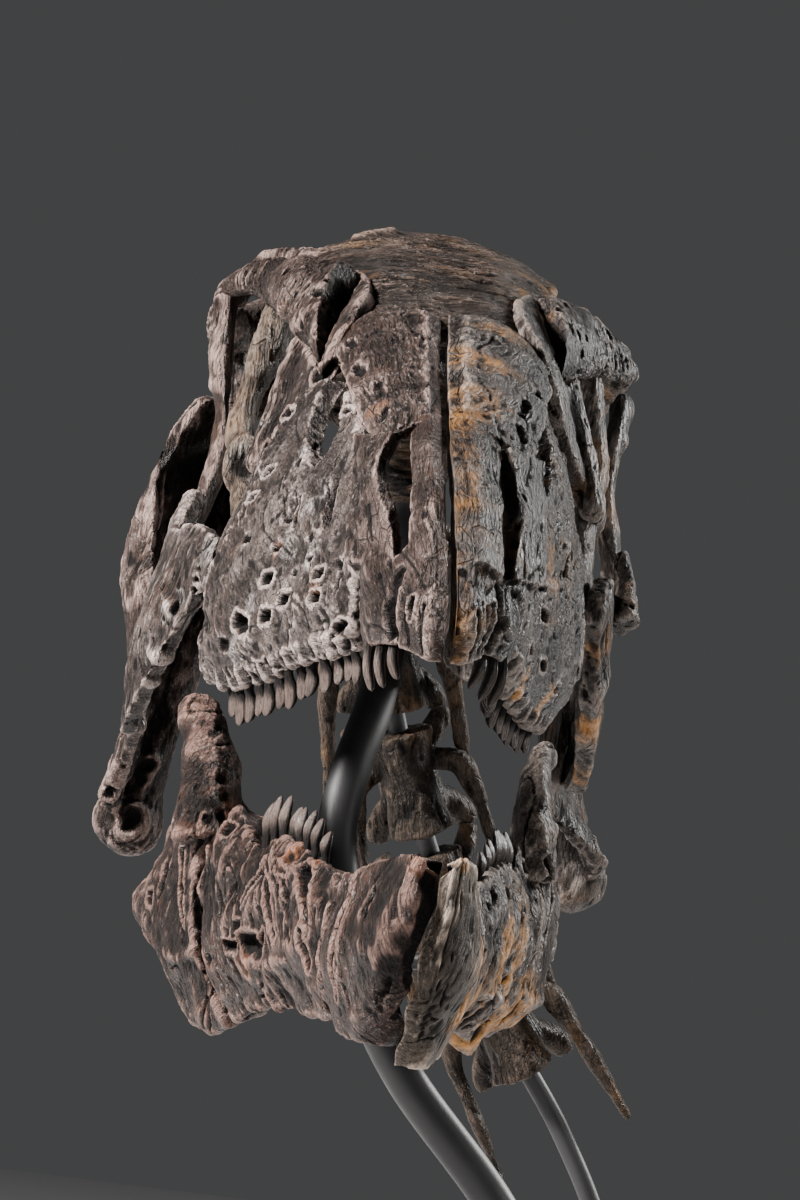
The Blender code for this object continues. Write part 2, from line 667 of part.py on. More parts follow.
def tube(name, route, diameter, spacing, shop):
    """A bent steel tube along a smooth route."""
    path = smooth_through(route, 8)
    lengths = np.concatenate([[0], np.cumsum(np.linalg.norm(np.diff(path, axis=0), axis=1))])
    count = max(2, int(lengths[-1] / spacing))
    even = [[np.interp(s, lengths, path[:, k]) for k in range(3)] for s in np.linspace(0, lengths[-1], count)]
    curve = bpy.data.curves.new(name, "CURVE")
    curve.dimensions = "3D"
    curve.bevel_depth = diameter * MM / 2
    curve.bevel_resolution = 1
    curve.use_fill_caps = True
    spline = curve.splines.new("POLY")
    spline.points.add(count - 1)
    for point, place in zip(spline.points, even):
        point.co = (*(Vector(place) * MM), 1.0)
    made = bpy.data.objects.new(name, curve)
    shop.collection.objects.link(made)
    bpy.context.view_layer.update()
    mesh = bpy.data.meshes.new_from_object(made.evaluated_get(bpy.context.evaluated_depsgraph_get()))
    bpy.data.objects.remove(made)
    bpy.data.curves.remove(curve)
    solid = bpy.data.objects.new(name, mesh)
    shop.collection.objects.link(solid)
    shop.settle(solid)
    return solid


def stand(shop, steel):
    """The base plate with its tubes and rods, each welded to the solid that it stands on."""
    floor = -BEAK_HEIGHT
    top = floor + BASE_SIZE[2]
    base = plate("stand_base", BASE_SIZE, (*BASE_CENTRE, floor + BASE_SIZE[2] / 2), BASE_ROUNDING, shop)
    foot = TUBE_ROUTE[-1]
    post = tube("stand_tube", TUBE_ROUTE, TUBE_DIAMETER, 19.0, shop)
    flange = disc("flange", FLANGE_DIAMETER, FLANGE_THICKNESS, (foot[0], foot[1], top + 0.3 + FLANGE_THICKNESS / 2), shop)
    shop.boolean(post, flange, "UNION")
    bpy.data.objects.remove(flange)
    low, high = JAW_BAR_ENDS
    bow = [low, (-18, 234, -82), (2, 244, -84), (24, 234, -82), high]
    bar_across = tube("bar_across", bow, JAW_BAR_DIAMETER, 22.0, shop)
    shop.boolean(post, bar_across, "UNION")
    bpy.data.objects.remove(bar_across)
    heel = NECK_ROD_ROUTE[-1]
    rod = tube("stand_neck_rod", NECK_ROD_ROUTE, NECK_ROD_DIAMETER, 26.0, shop)
    flange = disc(
        "flange", NECK_FLANGE_DIAMETER, FLANGE_THICKNESS, (heel[0], heel[1], top + 0.3 + FLANGE_THICKNESS / 2), shop
    )
    shop.boolean(rod, flange, "UNION")
    bpy.data.objects.remove(flange)
    made = [base, post, rod]
    for solid in made:
        solid.data.materials.clear()
        solid.data.materials.append(steel)
        solid.data.shade_smooth()
        solid.data.set_sharp_from_angle(angle=math.radians(50))
        solid.parent = shop.mount
        shop.bones[solid.name] = solid
    return made


def build():
    clear_scene()
    collection = bpy.data.collections.new("dinosaur_skull")
    bpy.context.scene.collection.children.link(collection)
    skull_frame = bpy.data.objects.new("skull_frame", None)
    collection.objects.link(skull_frame)
    skull_frame.location = Vector((-BASE_CENTRE[0], -BASE_CENTRE[1], BEAK_HEIGHT)) * MM
    bone_look = material("fossil_bone", FOSSIL)
    steel = material("black_steel", BLACK_STEEL)
    shop = Workshop(collection, skull_frame)

    stand(shop, steel)

    def make(name, blanks, triangles, **more):
        shop.bone(name, blanks, triangles, look=bone_look, **more)

    make("braincase", braincase(), 260, holes=[foramen_magnum()], meets=["stand_tube"])
    for word, side in SIDES.items():
        make(f"premaxilla_{word}", premaxilla(side), 215, side=side, teeth=premaxilla_teeth(), gap=SNOUT_GAP)
        make(f"palpebral_{word}", palpebral(side), 120, side=side)
    for word, side in SIDES.items():
        around = [f"premaxilla_{word}", f"palpebral_{word}"]
        make(f"nasal_{word}", nasal(), 110, side=side, meets=around, gap=SNOUT_GAP)
        make(
            f"maxilla_{word}", maxilla(side), 235, side=side, holes=antorbital_openings(side),
            teeth=tooth_row(maxilla_margin(side), 13, 0.06, 0.88, -8.5, 7.0, 5.0),
            meets=[f"premaxilla_{word}", f"nasal_{word}"],
        )
        around = [f"{bone}_{word}" for bone in ("maxilla", "nasal", "palpebral")]
        make(f"prefrontal_{word}", prefrontal(), 110, side=side, meets=around)
    around = [f"{bone}_{word}" for bone in ("nasal", "prefrontal", "palpebral") for word in SIDES]
    make("skull_roof", skull_roof(), 175, meets=["braincase"] + around)
    for word, side in SIDES.items():
        spread, hollow = (1.0, 1.0) if side == RIGHT else (0.5, 0.77)
        make(f"postorbital_{word}", postorbital(side), 125, side=side, meets=["skull_roof", f"palpebral_{word}"])
        make(
            f"squamosal_{word}", squamosal(side), 120, side=side,
            meets=["skull_roof", "braincase", f"postorbital_{word}"],
        )
        make(f"jugal_{word}", jugal(spread), 140, side=side, meets=[f"postorbital_{word}", f"maxilla_{word}"])
        make(
            f"quadrate_{word}", quadrate(hollow), 165, side=side,
            meets=[f"jugal_{word}", f"squamosal_{word}", f"postorbital_{word}", "braincase"],
        )
        around = [f"{bone}_{word}" for bone in ("maxilla", "quadrate", "postorbital", "palpebral")]
        make(f"palate_{word}", palate(), 125, side=side, meets=around + ["braincase", "skull_roof"])

    for word, side in SIDES.items():
        width = 1.0 if side == RIGHT else 1.22
        sag, lean, stout = (14.0, 0.0, 1.0) if side == RIGHT else (4.0, 11.0, 0.62)
        make(f"predentary_{word}", predentary(width, 1.0 if side == RIGHT else 6.0), 140, side=side, gap=CHIN_GAP)
        row = [(widened(x, y, width), y, z) for x, y, z in DENTARY_MARGIN]
        make(
            f"dentary_{word}", dentary(width), 160, side=side,
            teeth=tooth_row(row, 8, 0.30, 0.94, 10.0, 7.0, 5.0),
            meets=[f"predentary_{word}", "stand_tube"],
        )
        make(
            f"rear_jaw_{word}", rear_jaw(sag, lean, stout), 155, side=side,
            meets=[f"dentary_{word}", f"quadrate_{word}"],
        )

    above = "braincase"
    for number in range(NECK_BONES):
        name = f"neck_vertebra_{number + 1}"
        make(name, vertebra(number), 112, meets=[above, "stand_neck_rod"])
        above = name
    for name, solid in shop.bones.items():
        if not name.startswith(("stand_", "neck_")):
            for vert in solid.data.vertices:
                vert.co.x += skewed(*(vert.co / MM)) * MM


build()
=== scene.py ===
import itertools
import math

import bpy
import numpy as np
from mathutils import Matrix, Vector


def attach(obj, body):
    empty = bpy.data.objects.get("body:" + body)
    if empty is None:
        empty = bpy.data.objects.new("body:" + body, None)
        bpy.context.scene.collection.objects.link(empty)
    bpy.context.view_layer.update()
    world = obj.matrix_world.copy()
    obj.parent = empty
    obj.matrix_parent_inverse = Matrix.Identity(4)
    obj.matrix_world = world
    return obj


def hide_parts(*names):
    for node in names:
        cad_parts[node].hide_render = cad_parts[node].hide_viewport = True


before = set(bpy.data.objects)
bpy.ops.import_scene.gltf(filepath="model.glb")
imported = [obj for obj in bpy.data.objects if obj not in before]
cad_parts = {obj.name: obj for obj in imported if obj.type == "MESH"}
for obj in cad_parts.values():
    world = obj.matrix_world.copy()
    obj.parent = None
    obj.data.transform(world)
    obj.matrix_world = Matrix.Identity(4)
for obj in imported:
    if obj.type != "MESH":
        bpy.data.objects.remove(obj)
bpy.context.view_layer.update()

# ---------------------------------------------------------------- the room
# The skull stands in a plain studio on a matt pale floor. A strong lamp high on its right picks out the relief, a
# weak one fills from its left, and two more behind it draw the edges.
def look_from(eye, forward, roll):
    """The turn of something at eye that faces along forward: its right hand lies level and is then rolled."""
    forward = Vector(forward).normalized()
    right = forward.cross(Vector((0, 0, 1))).normalized()
    up = right.cross(forward)
    turned = math.cos(roll) * right + math.sin(roll) * up
    raised = -math.sin(roll) * right + math.cos(roll) * up
    made = Matrix((turned, raised, -forward)).transposed().to_4x4()
    made.translation = eye
    return made


YAW, PITCH, ROLL = math.radians(3.3), math.radians(6.0), math.radians(7.3)
VIEW_POINT, VIEW_DISTANCE = Vector((-0.0735, -0.325, 0.4458)), 1.2
LAMP_POINT = Vector((-0.02, -0.16, 0.47))
HALF_FLOOR = 6.0
ahead = Vector((math.sin(YAW) * math.cos(PITCH), math.cos(YAW) * math.cos(PITCH), math.sin(PITCH)))
camera = bpy.data.objects.new("camera", bpy.data.cameras.new("camera"))
bpy.context.scene.collection.objects.link(camera)
camera.data.lens = 124.2
camera.data.sensor_width = 36.0
camera.matrix_world = look_from(VIEW_POINT - VIEW_DISTANCE * ahead, ahead, ROLL)
camera.data.clip_start, camera.data.clip_end = 0.05, 60.0
bpy.context.scene.camera = camera

for name, place, size, power, tint in (
    ("key_light", (-1.5, -0.42, 1.3), 0.26, 230.0, (1.0, 0.955, 0.93)),
    ("fill_light", (1.6, -0.85, 0.9), 0.6, 17.0, (1.0, 0.98, 0.95)),
    ("edge_light", (1.15, 0.75, 1.1), 0.4, 44.0, (1.0, 0.99, 0.97)),
    ("low_light", (-1.5, 0.5, 0.5), 0.6, 6.0, (1.0, 0.98, 0.95)),
):
    lamp = bpy.data.objects.new(name, bpy.data.lights.new(name, "AREA"))
    bpy.context.scene.collection.objects.link(lamp)
    lamp.data.size = size
    lamp.data.energy = power
    lamp.data.color = tint
    lamp.matrix_world = look_from(Vector(place), LAMP_POINT - Vector(place), 0.0)

world = bpy.data.worlds.new("studio")
bpy.context.scene.world = world
world.use_nodes = True
world.node_tree.nodes["Background"].inputs["Color"].default_value = (0.82, 0.83, 0.85, 1.0)
world.node_tree.nodes["Background"].inputs["Strength"].default_value = 0.075


def put(tree, kind, feeds=None, **settings):
    """A node of that kind, with its settings made and each named input fed by a socket or set to a value."""
    made = tree.nodes.new(kind)
    for key, value in settings.items():
        setattr(made, key, value)
    for key, value in (feeds or {}).items():
        if isinstance(value, bpy.types.NodeSocket):
            tree.links.new(value, made.inputs[key])
        else:
            made.inputs[key].default_value = value
    return made


def finish(name, roughness):
    """A material with an even Principled surface, ready to take its pattern."""
    made = bpy.data.materials.new(name)
    made.use_nodes = True
    shader = made.node_tree.nodes["Principled BSDF"]
    shader.inputs["Roughness"].default_value = roughness
    return made, made.node_tree, shader


floor_paint, tree, shader = finish("studio_floor", 0.9)
tone = put(tree, "ShaderNodeTexNoise", {"Vector": put(tree, "ShaderNodeTexCoord").outputs["Object"], "Scale": 3.0})
span = put(tree, "ShaderNodeMapRange", {"Value": tone.outputs[0], "To Min": 0.60, "To Max": 0.64})
grey = put(tree, "ShaderNodeCombineColor", {channel: span.outputs[0] for channel in ("Red", "Green", "Blue")})
tree.links.new(grey.outputs[0], shader.inputs["Base Color"])
floor_mesh = bpy.data.meshes.new("studio_floor")
floor_mesh.from_pydata([(HALF_FLOOR * x, HALF_FLOOR * y, 0) for x, y in ((-1, -1), (1, -1), (1, 1), (-1, 1))], [],
                       [(0, 1, 2, 3)])
studio_floor = bpy.data.objects.new("studio_floor", floor_mesh)
bpy.context.scene.collection.objects.link(studio_floor)
floor_mesh.materials.append(floor_paint)

# ---------------------------------------------------------------- base plate
# A flame-cut steel plate with eased edges that carries both posts. It is shot-blasted and powder-coated satin
# black, so that it has a fine orange-peel surface and greyer, rubbed patches.
def pattern_group(name, inputs, outputs):
    """An empty node group with those inputs, given as (name, kind, value), and outputs, given as (name, kind)."""
    made = bpy.data.node_groups.new(name, "ShaderNodeTree")
    for label, kind, value in inputs:
        socket = made.interface.new_socket(label, in_out="INPUT", socket_type=kind)
        if value is not None:
            socket.default_value = value
    for label, kind in outputs:
        made.interface.new_socket(label, in_out="OUTPUT", socket_type=kind)
    return made, made.nodes.new("NodeGroupInput").outputs, made.nodes.new("NodeGroupOutput").inputs


def mixed(tree, share, first, second, blend="MIX"):
    """The colour that goes from first to second as share goes from 0 to 1."""
    made = put(tree, "ShaderNodeMix", data_type="RGBA", blend_type=blend)
    for index, value in ((0, share), (6, first), (7, second)):
        if isinstance(value, bpy.types.NodeSocket):
            tree.links.new(value, made.inputs[index])
        else:
            made.inputs[index].default_value = value
    return made.outputs[2]


def ranged(tree, value, low, high, to_low=0.0, to_high=1.0):
    """The value's share of the way from low to high, eased at both ends."""
    made = put(tree, "ShaderNodeMapRange", {
        "Value": value, "From Min": low, "From Max": high, "To Min": to_low, "To Max": to_high,
    }, interpolation_type="SMOOTHSTEP")
    return made.outputs[0]


def times(tree, first, second, operation="MULTIPLY"):
    """First times second, or what else the named operation makes of the two."""
    made = put(tree, "ShaderNodeMath", {0: first, 1: second}, operation=operation)
    return made.outputs[0]


COLOUR, NUMBER, VECTOR = "NodeSocketColor", "NodeSocketFloat", "NodeSocketVector"
coat, taken, given = pattern_group("powder_coat", [
    ("Place", VECTOR, None), ("Paint", COLOUR, (0.012, 0.012, 0.013, 1)), ("Rubbed", COLOUR, (0.07, 0.07, 0.072, 1)),
    ("Rub", NUMBER, 0.5),
], [("Colour", COLOUR), ("Roughness", NUMBER), ("Height", NUMBER)])
peel = put(coat, "ShaderNodeTexNoise", {"Vector": taken["Place"], "Scale": 1100.0, "Detail": 2.0}).outputs[0]
handled = put(coat, "ShaderNodeTexNoise", {
    "Vector": taken["Place"], "Scale": 22.0, "Detail": 6.0, "Roughness": 0.7}).outputs[0]
rubbed = times(coat, ranged(coat, handled, 0.56, 0.74), taken["Rub"])
coat.links.new(mixed(coat, rubbed, taken["Paint"], taken["Rubbed"]), given["Colour"])
coat.links.new(ranged(coat, handled, 0.3, 0.75, 0.42, 0.58), given["Roughness"])
coat.links.new(peel, given["Height"])


def painted_steel(name, rub, bump):
    """Black powder coat on steel, rubbed by that share, with a peel that tall."""
    made, tree, shader = finish(name, 0.3)
    shader.inputs["Specular IOR Level"].default_value = 0.22
    use = put(tree, "ShaderNodeGroup", {}, node_tree=coat)
    tree.links.new(put(tree, "ShaderNodeTexCoord").outputs["Object"], use.inputs["Place"])
    use.inputs["Rub"].default_value = rub
    tree.links.new(use.outputs["Colour"], shader.inputs["Base Color"])
    tree.links.new(use.outputs["Roughness"], shader.inputs["Roughness"])
    peel_bump = put(tree, "ShaderNodeBump", {"Height": use.outputs["Height"], "Strength": bump, "Distance": 0.0002})
    tree.links.new(peel_bump.outputs[0], shader.inputs["Normal"])
    return made


base_paint = painted_steel("base_paint", 0.75, 0.5)
base_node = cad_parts["stand_base"]
base_node.data.materials.clear()
base_node.data.materials.append(base_paint)

# ---------------------------------------------------------------- main post
# A 14 mm steel tube, drawn smooth and bent in long curves from a round foot up through the neck and the jaws into
# the braincase. Its foot is welded on and held down with four socket-head screws, and a thin bar welded across it
# takes the weight of the jaw.
SKULL_PLACE = np.array([-58.0, -325.0, 430.0])  # the skull's own frame, in mm, seen from the middle of the base


def smooth_through(points, steps):
    """Catmull-Rom spline: between two knots each point is the cubic whose slopes at them are half the way from
    the knot before to the knot after."""
    knots = np.asarray(points, float)
    ends = np.vstack([2 * knots[0] - knots[1], knots, 2 * knots[-1] - knots[-2]])
    t = (np.arange(steps) / steps)[None, :, None]
    a, b, c, d = (ends[i : len(knots) - 1 + i][:, None] for i in range(4))
    spans = 0.5 * (2 * b + (c - a) * t + (2 * a - 5 * b + 4 * c - d) * t**2 + (3 * b - a - 3 * c + d) * t**3)
    return np.vstack([spans.reshape(-1, knots.shape[1]), knots[-1:]])


def skin_over(rows):
    """Points and four-sided faces of a closed skin over rings of points. Each ring joins the next, and both end
    rings are closed by strips that pair a ring's first points with its last."""
    rows = np.asarray(rows, float)
    count, ring = rows.shape[:2]
    at = np.arange(count * ring).reshape(count, ring)
    after = np.roll(at, -1, axis=1)
    sides = np.stack([at[:-1], after[:-1], after[1:], at[1:]], axis=-1).reshape(-1, 4)
    j = np.arange(ring // 2 - 1)
    low = np.stack([at[0, j], at[0, ring - 1 - j], at[0, ring - 2 - j], at[0, j + 1]], axis=-1)
    high = np.stack([at[-1, j], at[-1, j + 1], at[-1, ring - 2 - j], at[-1, ring - 1 - j]], axis=-1)
    return rows.reshape(-1, 3), np.vstack([sides, low, high])


def facing_out(points, faces):
    """The faces, turned over if the solid's volume, the sum of its corner pyramids, comes out negative."""
    a, b, c, d = (points[faces[:, k]] for k in range(4))
    volume = np.einsum("ij,ij->", a, np.cross(b, c)) + np.einsum("ij,ij->", a, np.cross(c, d))
    return faces[:, ::-1] if volume < 0 else faces


def together(parts):
    """Several closed skins as one list of points and one of faces."""
    starts = np.cumsum([0] + [len(points) for points, _ in parts])
    faces = np.vstack([facing_out(points, quads) + start for (points, quads), start in zip(parts, starts)])
    return np.vstack([points for points, _ in parts]), faces


def mesh_of(name, points, faces):
    """A mesh of four-sided faces, written as whole arrays."""
    mesh = bpy.data.meshes.new(name)
    mesh.vertices.add(len(points))
    mesh.vertices.foreach_set("co", np.asarray(points, np.float32).ravel())
    mesh.loops.add(faces.size)
    mesh.loops.foreach_set("vertex_index", np.asarray(faces, np.int32).ravel())
    mesh.polygons.add(len(faces))
    mesh.polygons.foreach_set("loop_start", np.arange(0, faces.size, 4, dtype=np.int32))
    mesh.update(calc_edges=True)
    return mesh


def piece(name, mesh, materials, node):
    """The finished object: it rides with the mount, stands for its node and takes the given materials."""
    made = bpy.data.objects.new(name, mesh)
    bpy.context.scene.collection.objects.link(made)
    for one in materials:
        mesh.materials.append(one)
    mesh.shade_smooth()
    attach(made, "root")
    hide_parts(node)


def tube_along(route, diameter, steps=14, sides=32):
    """Rings of one radius about a smooth path, each square to it."""
    path = smooth_through(route, steps)
    heading = np.gradient(path, axis=0)
    heading /= np.linalg.norm(heading, axis=1, keepdims=True)
    across = np.array([0.98, 0.2, 0.0]) - heading * (heading @ np.array([0.98, 0.2, 0.0]))[:, None]
    across /= np.linalg.norm(across, axis=1, keepdims=True)
    deep = np.cross(heading, across)
    turn = np.linspace(0, 2 * math.pi, sides, endpoint=False)[None, :, None]
    return skin_over(path[:, None] + diameter / 2 * (across[:, None] * np.cos(turn) + deep[:, None] * np.sin(turn)))


def turned(foot, profile, sides=64, wave=0.0, waves=0, corners=0):
    """A profile of (radius, height) carried round an upright axis at foot. wave ripples the radius as a bead
    does, and corners flattens the inmost rings to a polygon, as in a screw's socket."""
    radius, height = np.array([row[:2] for row in profile], float).T[:, :, None]
    turn = np.linspace(0, 2 * math.pi, sides, endpoint=False)[None]
    radius = radius * (1 + wave * np.cos(waves * turn))
    if corners:
        step = 2 * math.pi / corners
        flat = math.cos(step / 2) / np.cos((turn + step / 2) % step - step / 2)
        inner = np.array([len(row) > 2 for row in profile])[:, None]
        radius = np.where(inner, radius * flat, radius)
    return skin_over(np.stack([
        foot[0] + radius * np.cos(turn), foot[1] + radius * np.sin(turn), foot[2] + height + 0 * turn], axis=-1))


def flange(foot, diameter, thickness, tube, screws):
    """A round foot with eased edges, the weld bead where the tube meets it, and its screws."""
    r = diameter / 2
    made = [
        turned(foot, [(0.3, 0), (r - 0.6, 0), (r, 0.6), (r, thickness - 1.2), (r - 0.4, thickness - 0.4),
                      (r - 1.3, thickness), (0.3, thickness)]),
        turned((foot[0], foot[1], foot[2] + thickness), [
            (tube / 2 - 1, -0.5), (tube / 2 + 3.2, -0.5), (tube / 2 + 3.3, 0.6), (tube / 2 + 2.6, 1.7),
            (tube / 2 + 1.4, 2.6), (tube / 2 + 0.3, 3.4), (tube / 2 - 1, 3.5)], 144, 0.012, 24),
    ]
    for k in range(screws):
        turn = 2 * math.pi * (k + 0.5) / screws
        reach = r - 8.0
        head = (foot[0] + reach * math.cos(turn), foot[1] + reach * math.sin(turn), foot[2] + thickness)
        made.append(turned(head, [
            (0.3, -0.5), (4.6, -0.5), (4.75, 0.2), (4.7, 1.2), (4.2, 2.3), (3.4, 2.9), (2.5, 3.1), (2.05, 3.1, 1),
            (1.9, 2.9, 1), (1.9, 1.0, 1), (0.2, 0.9, 1)], 48, corners=6))
    return made


post_route = [
    (0, 338, 82), (0, 312, 56), (-3, 279, 12), (-10, 262, -19), (-12, 253, -46), (-1, 243, -86), (20, 237, -122),
    (58, 237, -163), (88, 244, -208), (98, 254, -270), (100, 258, -340), (100, 258, -408),
]
post_parts = [
    tube_along(post_route, 14.0),
    tube_along([(-35, 212, -78), (-18, 234, -82), (2, 244, -84), (24, 234, -82), (44, 212, -78)], 6.0, 12, 24),
] + flange((100, 258, -415.7), 70.0, 8.0, 14.0, 4)
points, faces = together(post_parts)
post_paint = painted_steel("post_paint", 0.12, 0.25)
piece("stand_post", mesh_of("stand_post", (points + SKULL_PLACE) * 0.001, faces), [post_paint], "stand_tube")

# ---------------------------------------------------------------- neck rod
# An 8 mm steel rod with the same coat. It runs down through the neck bones like a threading wire and then bends
# to a small foot of its own, held by three screws.
neck_line = [(1, 428, 84), (8, 443, 38), (24, 456, -8), (46, 468, -54), (74, 478, -98), (104, 486, -138)]
rod_route = neck_line + [(126, 480, -180), (138, 468, -230), (142, 460, -290), (142, 458, -350), (142, 458, -408)]
points, faces = together([tube_along(rod_route, 8.0, 12, 24)] + flange((142, 458, -415.7), 48.0, 8.0, 8.0, 3))
rod_paint = painted_steel("rod_paint", 0.2, 0.25)
piece("neck_rod", mesh_of("neck_rod", (points + SKULL_PLACE) * 0.001, faces), [rod_paint], "stand_neck_rod")

# ---------------------------------------------------------------- braincase
# The box of thin bones fused round the brain, with the wings that tie it to the cheeks, the ball that the neck
# turns on and the hole for the spinal cord behind. Like the rest it is bone turned to dark stone: fibrous, pitted
# where vessels entered, cracked along its grain and stained with iron. It is free-standing on the post's tip.
def oval_bar(points, halves, wide=(1.0, 0.0, 0.0), steps=8, sides=24):
    """Ellipses about a smooth path. halves gives half of the width along wide and half of the depth across it."""
    path = smooth_through(points, steps)
    sizes = smooth_through(halves, steps)
    heading = np.gradient(path, axis=0)
    heading /= np.linalg.norm(heading, axis=1, keepdims=True)
    across = np.asarray(wide, float) - heading * (heading @ np.asarray(wide, float))[:, None]
    across /= np.linalg.norm(across, axis=1, keepdims=True)
    deep = np.cross(heading, across)
    turn = np.linspace(0, 2 * math.pi, sides, endpoint=False)[None, :, None]
    wide_part = sizes[:, :1, None] * across[:, None] * np.cos(turn)
    return skin_over(path[:, None] + wide_part + sizes[:, 1:, None] * deep[:, None] * np.sin(turn))


def egg(centre, radii, along=(0.0, 1.0, 0.0), through=(1.0, 0.0, 0.0)):
    """An ellipsoid: rings about the line along, whose radii follow the sine of the way from pole to pole."""
    along = np.asarray(along, float) / np.linalg.norm(along)
    through = np.asarray(through, float) - along * (along @ np.asarray(through, float))
    through /= np.linalg.norm(through)
    third = np.cross(through, along)
    polar = np.linspace(0.02, math.pi - 0.02, 24)[:, None, None]
    turn = np.linspace(0, 2 * math.pi, 40, endpoint=False)[None, :, None]
    ring = radii[0] * through * np.cos(turn) + radii[2] * third * np.sin(turn)
    return skin_over(np.asarray(centre, float) - radii[1] * along * np.cos(polar) + ring * np.sin(polar))


COARSE_CELL = 1.4


def fused(skins, cell, openings=()):
    """One closed skin round all the given ones: a first pass of coarse cells joins them, the openings are cut
    away, and a second pass of cells that wide, in mm, then smoothed, gives an even mesh. Only the largest body is
    kept."""
    points, faces = together(skins)
    work = bpy.data.objects.new("work", mesh_of("work", points, faces))
    bpy.context.scene.collection.objects.link(work)

    def settle():
        graph = bpy.context.evaluated_depsgraph_get()
        old, work.data = work.data, bpy.data.meshes.new_from_object(work.evaluated_get(graph))
        work.modifiers.clear()
        bpy.data.meshes.remove(old)

    if openings:
        coarse = work.modifiers.new("coarse", "REMESH")
        coarse.mode, coarse.voxel_size = "VOXEL", COARSE_CELL
        settle()
        for skin in openings:
            cutter = bpy.data.objects.new("cutter", mesh_of("cutter", *together([skin])))
            bpy.context.scene.collection.objects.link(cutter)
            cut = work.modifiers.new("cut", "BOOLEAN")
            cut.operation, cut.solver, cut.object = "DIFFERENCE", "EXACT", cutter
            settle()
            bpy.data.objects.remove(cutter)
    fine = work.modifiers.new("fine", "REMESH")
    fine.mode, fine.voxel_size = "VOXEL", cell
    ease = work.modifiers.new("ease", "SMOOTH")
    ease.factor, ease.iterations = 0.5, 5
    settle()
    points = np.empty(len(work.data.vertices) * 3, np.float32)
    work.data.vertices.foreach_get("co", points)
    points = points.reshape(-1, 3).astype(float)
    faces = np.empty(len(work.data.loops), np.int32)
    work.data.loops.foreach_get("vertex_index", faces)
    faces = faces.reshape(-1, 4)
    mesh = work.data
    bpy.data.objects.remove(work)
    bpy.data.meshes.remove(mesh)
    return largest_body(points, faces)


def largest_body(points, faces):
    """Keeps the faces whose points hang together in the largest group. Each point takes the lowest number among
    those that it is joined to, until nothing changes."""
    edges = np.vstack([faces[:, [0, 1]], faces[:, [1, 2]], faces[:, [2, 3]], faces[:, [3, 0]]])
    group = np.arange(len(points))
    while True:
        low = np.minimum(group[edges[:, 0]], group[edges[:, 1]])
        new = group.copy()
        np.minimum.at(new, edges[:, 0], low)
        np.minimum.at(new, edges[:, 1], low)
        np.minimum.at(new, group, new)
        new = new[new]
        if np.array_equal(new, group):
            break
        group = new
    kept = group == np.bincount(group, minlength=len(points)).argmax()
    number = np.cumsum(kept) - 1
    return points[kept], number[faces[kept[faces[:, 0]]]]


def normals_of(points, faces):
    """Each point's normal: the mean of its faces' normals, a face's being the cross product of its diagonals."""
    flat = np.cross(points[faces[:, 2]] - points[faces[:, 0]], points[faces[:, 3]] - points[faces[:, 1]])
    made = np.stack([
        np.bincount(faces.ravel(), np.repeat(flat[:, k], 4), minlength=len(points)) for k in range(3)], axis=1)
    return made / (np.linalg.norm(made, axis=1, keepdims=True) + 1e-12)


def hollows_of(points, faces, normals, rounds):
    """How far each point lies under the surface smoothed that many times, in mm: positive in a hollow and
    negative on an edge. One smoothing moves a point to the mean of its neighbours."""
    edges = np.vstack([faces[:, [0, 1]], faces[:, [1, 2]], faces[:, [2, 3]], faces[:, [3, 0]]])
    count = np.bincount(edges[:, 0], minlength=len(points))[:, None] + 1e-9
    soft = points.copy()
    for _ in range(rounds):
        soft = np.stack([
            np.bincount(edges[:, 0], soft[edges[:, 1], k], minlength=len(points)) for k in range(3)], axis=1) / count
    return np.einsum("ij,ij->i", soft - points, normals)


random = np.random.default_rng(66)
slopes = random.normal(size=(64, 3))
slopes /= np.linalg.norm(slopes, axis=1, keepdims=True)


def cell_number(x, y, z, seed):
    """A scrambled whole number for a cell of space, from its three numbers and a seed."""
    h = (x * 0x8DA6B343 + y * 0xD8163841 + z * 0xCB1AB31F + seed * 0x9E3779B1) & 0xFFFFFFFF
    h = ((h ^ (h >> 15)) * 0x2C1B3C6D) & 0xFFFFFFFF
    return h ^ (h >> 13)


def swell(places, seed):
    """Smooth random heights from about -1 to 1, one swell to a unit: every corner of the unit cell round a point
    has a random slope, and the heights that these slopes give at the point are blended by an eased weight."""
    cell = np.floor(places).astype(np.int64)
    part = places - cell
    ease = part**3 * (part * (part * 6 - 15) + 10)
    total = np.zeros(len(places))
    for corner in itertools.product((0, 1), repeat=3):
        number = cell_number(*(cell + corner).T, seed) & 63
        share = np.prod(np.where(corner, ease, 1 - ease), axis=1)
        total += share * np.einsum("ij,ij->i", slopes[number], part - corner)
    return 1.6 * total


def rough(places, seed, octaves=4):
    """Swells of half the size and half the height laid over each other."""
    return sum(swell(places * 2.0**k, seed + 7 * k) / 2.0**k for k in range(octaves))


def pits(places, seed, share, radius=0.42):
    """Round pits from 0 to 1 deep, at most one to a unit cell and in that share of the cells. A pit is a bowl
    about a point thrown into the middle of its cell."""
    base = np.floor(places - 0.5).astype(np.int64)
    depth = np.zeros(len(places))
    for corner in itertools.product((0, 1), repeat=3):
        cell = base + corner
        number = cell_number(*cell.T, seed)
        thrown = np.stack([number >> shift & 1023 for shift in (2, 9, 17)], axis=1) / 1023.0
        size = radius * (0.55 + 0.45 * (number >> 5 & 255) / 255.0)
        reach = np.linalg.norm(places - (cell + 0.25 + 0.5 * thrown), axis=1) / size
        bowl = np.clip(1 - reach**2, 0, 1)
        depth = np.maximum(depth, np.where((number >> 11 & 1023) / 1023.0 < share, bowl, 0))
    return depth


